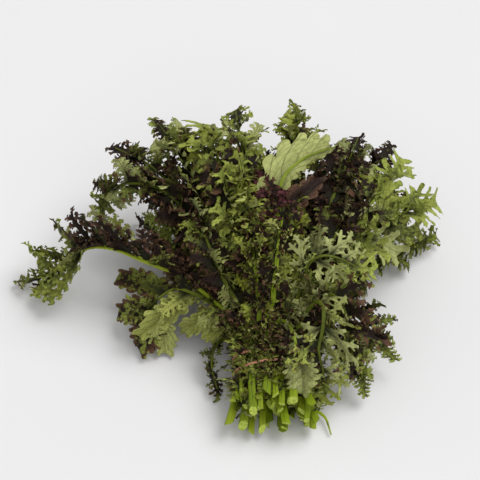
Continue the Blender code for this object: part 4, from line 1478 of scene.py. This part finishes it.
# %% Leaflets on the bare part of a stalk
# A stalk on top of the bundle, or further out than OUTER_X, shows behind the band. Its leaflets
# start there, and the covering ones lie over the band and a little beyond it.
OUTER_X = 22.0
COVER_START = 0.6
COVER_REACH = 14.0
COVER_LEAFLETS = 8

# Leaflets near the cut end: how many, where on that part of the stalk, and how purple
LOW_LEAFLETS = (1, 6)
LOW_PLACES = (0.1, 0.8)
LOW_PURPLE = (-0.6, 0.6)

# All leaflets
LEAFLET_SPACING = 5.5
LEAFLET_SIZES = (11.0, 18.0)
LEAFLET_WIDTH = 0.32
LEAFLET_LIFTS = (-0.2, 1.2)
LEAFLET_PURPLE = (-0.1, 1.2)
LEAFLET_RUFFLE = 1.2
LEAFLETS_TURNED = 0.2


def leaflet_path(rib, share, right, size, lift):
    """The path of a small leaflet on the stalk, raised from the rib's side by an angle."""
    middle, tangent, side, face = (
        between(rib.shares, rows, share) for rows in (rib.middles, rib.tangents, rib.sides, rib.faces)
    )
    sideways = side if right else -side
    outward = sideways * math.cos(lift) + face * math.sin(lift)
    heading = unit(tangent * 0.75 + outward * 0.66)
    normal = face * math.cos(lift) - sideways * math.sin(lift)
    start = middle + outward * stalk_radius(rib.leaf, share) * 0.5
    tip = start + heading * size - normal * 0.1 * size
    middles = [start, start + heading * size * LOBE_MIDDLE, tip]
    half = LEAFLET_WIDTH * size
    return make_path(middles, [normal] * 3, (half, half, half))


def add_leaflets(foliage, rib, look, draw):
    """Small leaflets along the stalk, up to the first lobes. On a stalk that lies on top of the
    bundle they start behind the band."""
    on_top = rib.middles[2, 2] > BUNDLE_Z or abs(rib.middles[2, 0]) > OUTER_X
    first = rib.shares[1] * COVER_START if on_top else rib.shares[2]
    last = rib.shares[PETIOLE_RINGS + 1]
    length = np.linalg.norm(np.diff(rib.middles, axis=0), axis=1).sum()
    count = max(2, int((last - first) * length * look.leaflets / LEAFLET_SPACING))
    shares = first + (last - first) * (np.arange(count) + draw.uniform(0.2, 0.8, count)) / count
    low = rib.shares[1] * draw.uniform(*LOW_PLACES, draw.integers(*LOW_LEAFLETS))
    shares = np.sort(np.concatenate([low, shares]))
    if on_top:
        covering = draw.uniform(first, rib.shares[2] + COVER_REACH / length, COVER_LEAFLETS)
        shares = np.sort(np.concatenate([shares, covering]))
    count = len(shares)
    for place, share in enumerate(shares):
        size = np.interp(place / count, (0, 1), LEAFLET_SIZES) * draw.uniform(0.7, 1.25)
        path = leaflet_path(rib, share, place % 2 == 0, size, draw.uniform(*LEAFLET_LIFTS))
        near = draw.uniform(*(LEAFLET_PURPLE if share > first else LOW_PURPLE))
        pale = 3 * draw.uniform(0, 1) ** 1.5
        young = look._replace(near=near, far=near, pale=pale, ruffle=LEAFLET_RUFFLE)
        add_blade(foliage, "leaflet", path, young, draw, 0.0, draw.uniform() < LEAFLETS_TURNED)


# %% [markdown]
# ## Stalks and their cut ends
#
# The straight stalk is laid along the rib and gets its groove there. A knife goes through a loose
# bundle unevenly, so near its cut end each stalk strays, swells and slopes by its own amount,
# which fades out towards the band.

# %% The stalk of one leaf
# How far a cut end strays, swells, shifts along the stalk and slopes, over which share of the
# stalk it does so, and how gently that starts
END_STRAY = 5.6
END_SWELL = 0.35
END_SHIFTS = (-10.0, 6.0)
END_SLOPE = 0.9
END_SHARE = 0.16
END_EASE = 1.4
GROOVE_DEPTH = 0.45
GROOVE_WIDTH = 0.45

# Stalks that show thicker than their solids are
STALK_GROWTH = {"leaf_front": 1.35, "leaf_front_left": 1.15, "leaf_left_arching": 1.2}


def lay_stalk(points, roll):
    """For each point of the straight stalk: how far along it is, and the frame of the bent one."""
    line = even_curve(points, STALK_STEPS + 1)
    shares = np.linspace(0, 1, STALK_STEPS + 1)
    along = np.clip(STALK.points[:, 1], 0, 1)
    frames = (between(shares, rows, along) for rows in (line, *rib_frames(line, roll)))
    return along, *frames


def add_stalk(foliage, rib, look, draw):
    """Bends the straight stalk along a rib, its cut end a little swollen and out of line."""
    along, centre, tangent, side, face = lay_stalk(rib.middles, rib.leaf.roll)
    backward = -tangent[along.argmin()]
    near_end = np.clip(1 - along / END_SHARE, 0, 1)[:, None] ** END_EASE
    stray = draw.uniform(-END_STRAY, END_STRAY, 2)
    swell = 1 + END_SWELL * draw.uniform(-0.7, 1) * near_end
    swell *= 1 + (STALK_GROWTH.get(rib.leaf.name, 1) - 1) * (1 - near_end)
    radius = stalk_radius(rib.leaf, along)[:, None] * swell
    wide, high = STALK.points[:, :1], STALK.points[:, 2:]
    groove = GROOVE_DEPTH * np.exp(-((wide / GROOVE_WIDTH) ** 2)) * np.clip((high - 0.4) / 0.5, 0, 1)
    points = centre + side * (wide * radius + stray[0] * near_end)
    points += face * ((high - groove) * radius + stray[1] * near_end)
    slope = draw.uniform(-END_SLOPE, END_SLOPE, 2)
    back = draw.uniform(*END_SHIFTS) - radius * (slope[0] * wide + slope[1] * high)
    points += backward * (back * near_end**2 + STALK.points[:, 1:2] - along[:, None])
    around = np.abs(np.arctan2(STALK.points[:, 0], STALK.points[:, 2])) / math.pi
    marks = np.stack([around, along], axis=1)
    blade_share = np.clip((along - rib.leaf.start) / (1 - rib.leaf.start), 0, 1)
    tints = np.empty((len(points), 3))
    behind = np.clip((along - rib.shares[1]) / (rib.shares[2] - rib.shares[1]), 0, 1)
    tints[:, 0] = look.rib * behind + draw.uniform(-0.3, 0.45) * (1 - behind)
    tints[:, 1] = draw.uniform(0, 0.25) + 0.7 * np.sqrt(blade_share) * look.pale
    tints[:, 2] = draw.uniform(0, 0.7)
    finishes = [CUT_FACE if end else STALK_SKIN for end in STALK.under]
    foliage.add(points, STALK.faces, finishes, marks, np.clip(tints, 0, 1))


# %% [markdown]
# ## A side shoot
#
# One thin shoot curls out between the cut ends at the right. It is the same straight stalk, made
# thinner towards its end and laid along a few given points.

# %% A side shoot from the stalk of one leaf
SHOOT_LEAF = "leaf_right_lowest"
SHOOT_POINTS = (
    (14, -20, 14), (26, -31, 8), (34, -35.5, 6), (40, -41, 5), (42.5, -49, 4), (44, -55, 2.5)
)
SHOOT_RADIUS = 2.2
SHOOT_TAPER = 0.75
SHOOT_TINT = (0.0, 0.1, 0.5)


def add_shoot(foliage):
    """Bends a thin, tapered copy of the straight stalk along the shoot's points."""
    along, centre, _, side, face = lay_stalk(SHOOT_POINTS, 0)
    radius = (SHOOT_RADIUS * (1 - SHOOT_TAPER * along))[:, None]
    points = centre + (side * STALK.points[:, :1] + face * STALK.points[:, 2:]) * radius
    marks = np.stack([np.zeros(len(along)), along], axis=1)
    tints = np.tile(SHOOT_TINT, (len(along), 1))
    foliage.add(points, STALK.faces, [STALK_SKIN] * len(STALK.faces), marks, tints)


# %% [markdown]
# ## One object for each leaf
#
# Three leaves show a blade that isn't divided down to the rib. For these, one wide blade is bent
# along the whole rib, where the other leaves have one for each lobe. Each finished leaf then
# stands for its solid.

# %% Whole leaves
# The share of the bladed part of the rib after which the undivided blade starts, its half width,
# and the share of it that its left and right sides have
Whole = namedtuple("Whole", "start half sides")
WHOLES = {
    "leaf_top_pale": Whole(0.0, 20.0, (0.45, 1.0)),
    "leaf_top_purple": Whole(0.0, 10.5, (1.0, 1.0)),
    "leaf_folded_pale": Whole(0.4, 15.0, (1.0, 1.0)),
}

# How finely its path is sampled, where on the blade that ends, and how far it goes past the rib
WHOLE_STEPS = 15
WHOLE_END = 1.04
WHOLE_OVERHANG = 0.25

SMOOTH_BELOW = math.radians(60)


def whole_path(rib, whole):
    """The path of one blade that covers all the lobes of a leaf."""
    end = rib.middles[-1] + rib.tangents[-1] * WHOLE_OVERHANG * whole.half
    start = rib.leaf.start + (1 - rib.leaf.start) * whole.start
    line = even_curve(rib.middles, STALK_STEPS + 1)[round(start * STALK_STEPS) :]
    line = even_curve(np.vstack([line, end]), WHOLE_STEPS)
    _, sides, faces = rib_frames(line, rib.leaf.roll)
    return Path(np.linspace(0, WHOLE_END, WHOLE_STEPS), line, sides * whole.half, faces)


def select_only(piece):
    """Makes a piece the only selected one, and the active one."""
    bpy.ops.object.select_all(action="DESELECT")
    piece.select_set(True)
    bpy.context.view_layer.objects.active = piece


def make_leaf(rib, look, place):
    """One whole leaf as a single piece that stands for its solid."""
    name = rib.leaf.name
    draw = seeded(800 + place)
    foliage = Foliage()
    add_stalk(foliage, rib, look, draw)
    if name in WHOLES:
        whole = WHOLES[name]
        fold = math.radians(rib.leaf.fold)
        path = whole_path(rib, whole)
        add_blade(foliage, "whole", path, look, draw, 0.5, look.flip == BOTH, fold, whole.sides)
    else:
        add_lobes(foliage, rib, look, draw)
    add_leaflets(foliage, rib, look, draw)
    if name == SHOOT_LEAF:
        add_shoot(foliage)
    piece = foliage.make("greens_" + name, LEAF_FINISHES)
    select_only(piece)
    bpy.ops.object.shade_smooth_by_angle(angle=SMOOTH_BELOW)
    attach(piece, "root")
    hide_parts(name)
    return piece


triangles = 0
for place, (name, rib) in enumerate(RIBS.items()):
    piece = make_leaf(rib, LOOKS.get(name) or tier_look(place), place)
    triangles += sum(len(face.vertices) - 2 for face in piece.data.polygons)
print("leaf triangles:", triangles)

# %% [markdown]
# ## The rubber band
#
# The band's solid is already right in its course, but its corners are sharp and its sides flat. A
# merged copy is rounded by subdivision and gets a fine crinkle, as old rubber has under tension.

# %% Band
BAND_SHADE = (0.42, 0.17, 0.10)
BAND_SHEEN = (0.72, 0.36, 0.23)
MERGE_WITHIN = 0.00005

band = bpy.data.objects.new("rubber_band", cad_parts["band"].data.copy())
bpy.context.scene.collection.objects.link(band)
select_only(band)
bpy.ops.object.mode_set(mode="EDIT")
bpy.ops.mesh.select_all(action="SELECT")
bpy.ops.mesh.remove_doubles(threshold=MERGE_WITHIN)
bpy.ops.mesh.tris_convert_to_quads()
bpy.ops.object.mode_set(mode="OBJECT")
apply_modifier(band, "SUBSURF", "rounded", levels=2, render_levels=2)
bpy.ops.object.shade_smooth()
band_finish = Finish("band rubber", 0.6, 0.4)
crinkle = band_finish.noise(700, 3)
band_finish.colour(band_finish.mix(band_finish.step(crinkle, 0.3, 0.75), BAND_SHADE, BAND_SHEEN))
band_finish.bump(crinkle, 0.0006)
band.data.materials.clear()
band.data.materials.append(band_finish.material)
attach(band, "root")
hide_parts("band")
print("band faces:", len(band.data.polygons))

# %% [markdown]
# ## Table and light
#
# The bunch was photographed on a seamless white ground. A large soft window stands behind it at
# the right, so its shadow falls softly to the lower left, and a weak reflector in front of it
# lightens that shadow.

# %% Floor, world and lights
GROUND_SHADE = (0.77, 0.765, 0.77)
GROUND_LIGHT = (0.81, 0.805, 0.81)
SKY_STRENGTH = 0.49

bpy.ops.mesh.primitive_plane_add(size=6)
floor = bpy.context.object
floor.name = "floor"
floor_finish = Finish("white ground", 0.9, 0.1)
floor_finish.colour(floor_finish.mix(floor_finish.noise(3, 2), GROUND_SHADE, GROUND_LIGHT))
floor.data.materials.append(floor_finish.material)

world = bpy.data.worlds.new("soft studio")
bpy.context.scene.world = world
world.use_nodes = True
sky = world.node_tree.nodes["Background"]
sky.inputs["Color"].default_value = (1, 1, 1, 1)
sky.inputs["Strength"].default_value = SKY_STRENGTH


def add_sun(name, place, energy, softness):
    """A wide, even light that shines from a place towards the bunch."""
    bpy.ops.object.light_add(type="SUN", location=place)
    light = bpy.context.object
    light.name = name
    light.data.energy = energy
    light.data.angle = math.radians(softness)
    light.rotation_euler = (CAMERA_AIM - light.location).to_track_quat("-Z", "Y").to_euler()


add_sun("window", place=(0.8, 0.5, 1.4), energy=2.0, softness=40)
add_sun("reflector", place=(0.2, -0.9, 1.0), energy=0.4, softness=60)
bpy.context.scene.view_settings.view_transform = "Standard"
print("lights:", [one.name for one in bpy.data.objects if one.type == "LIGHT"])
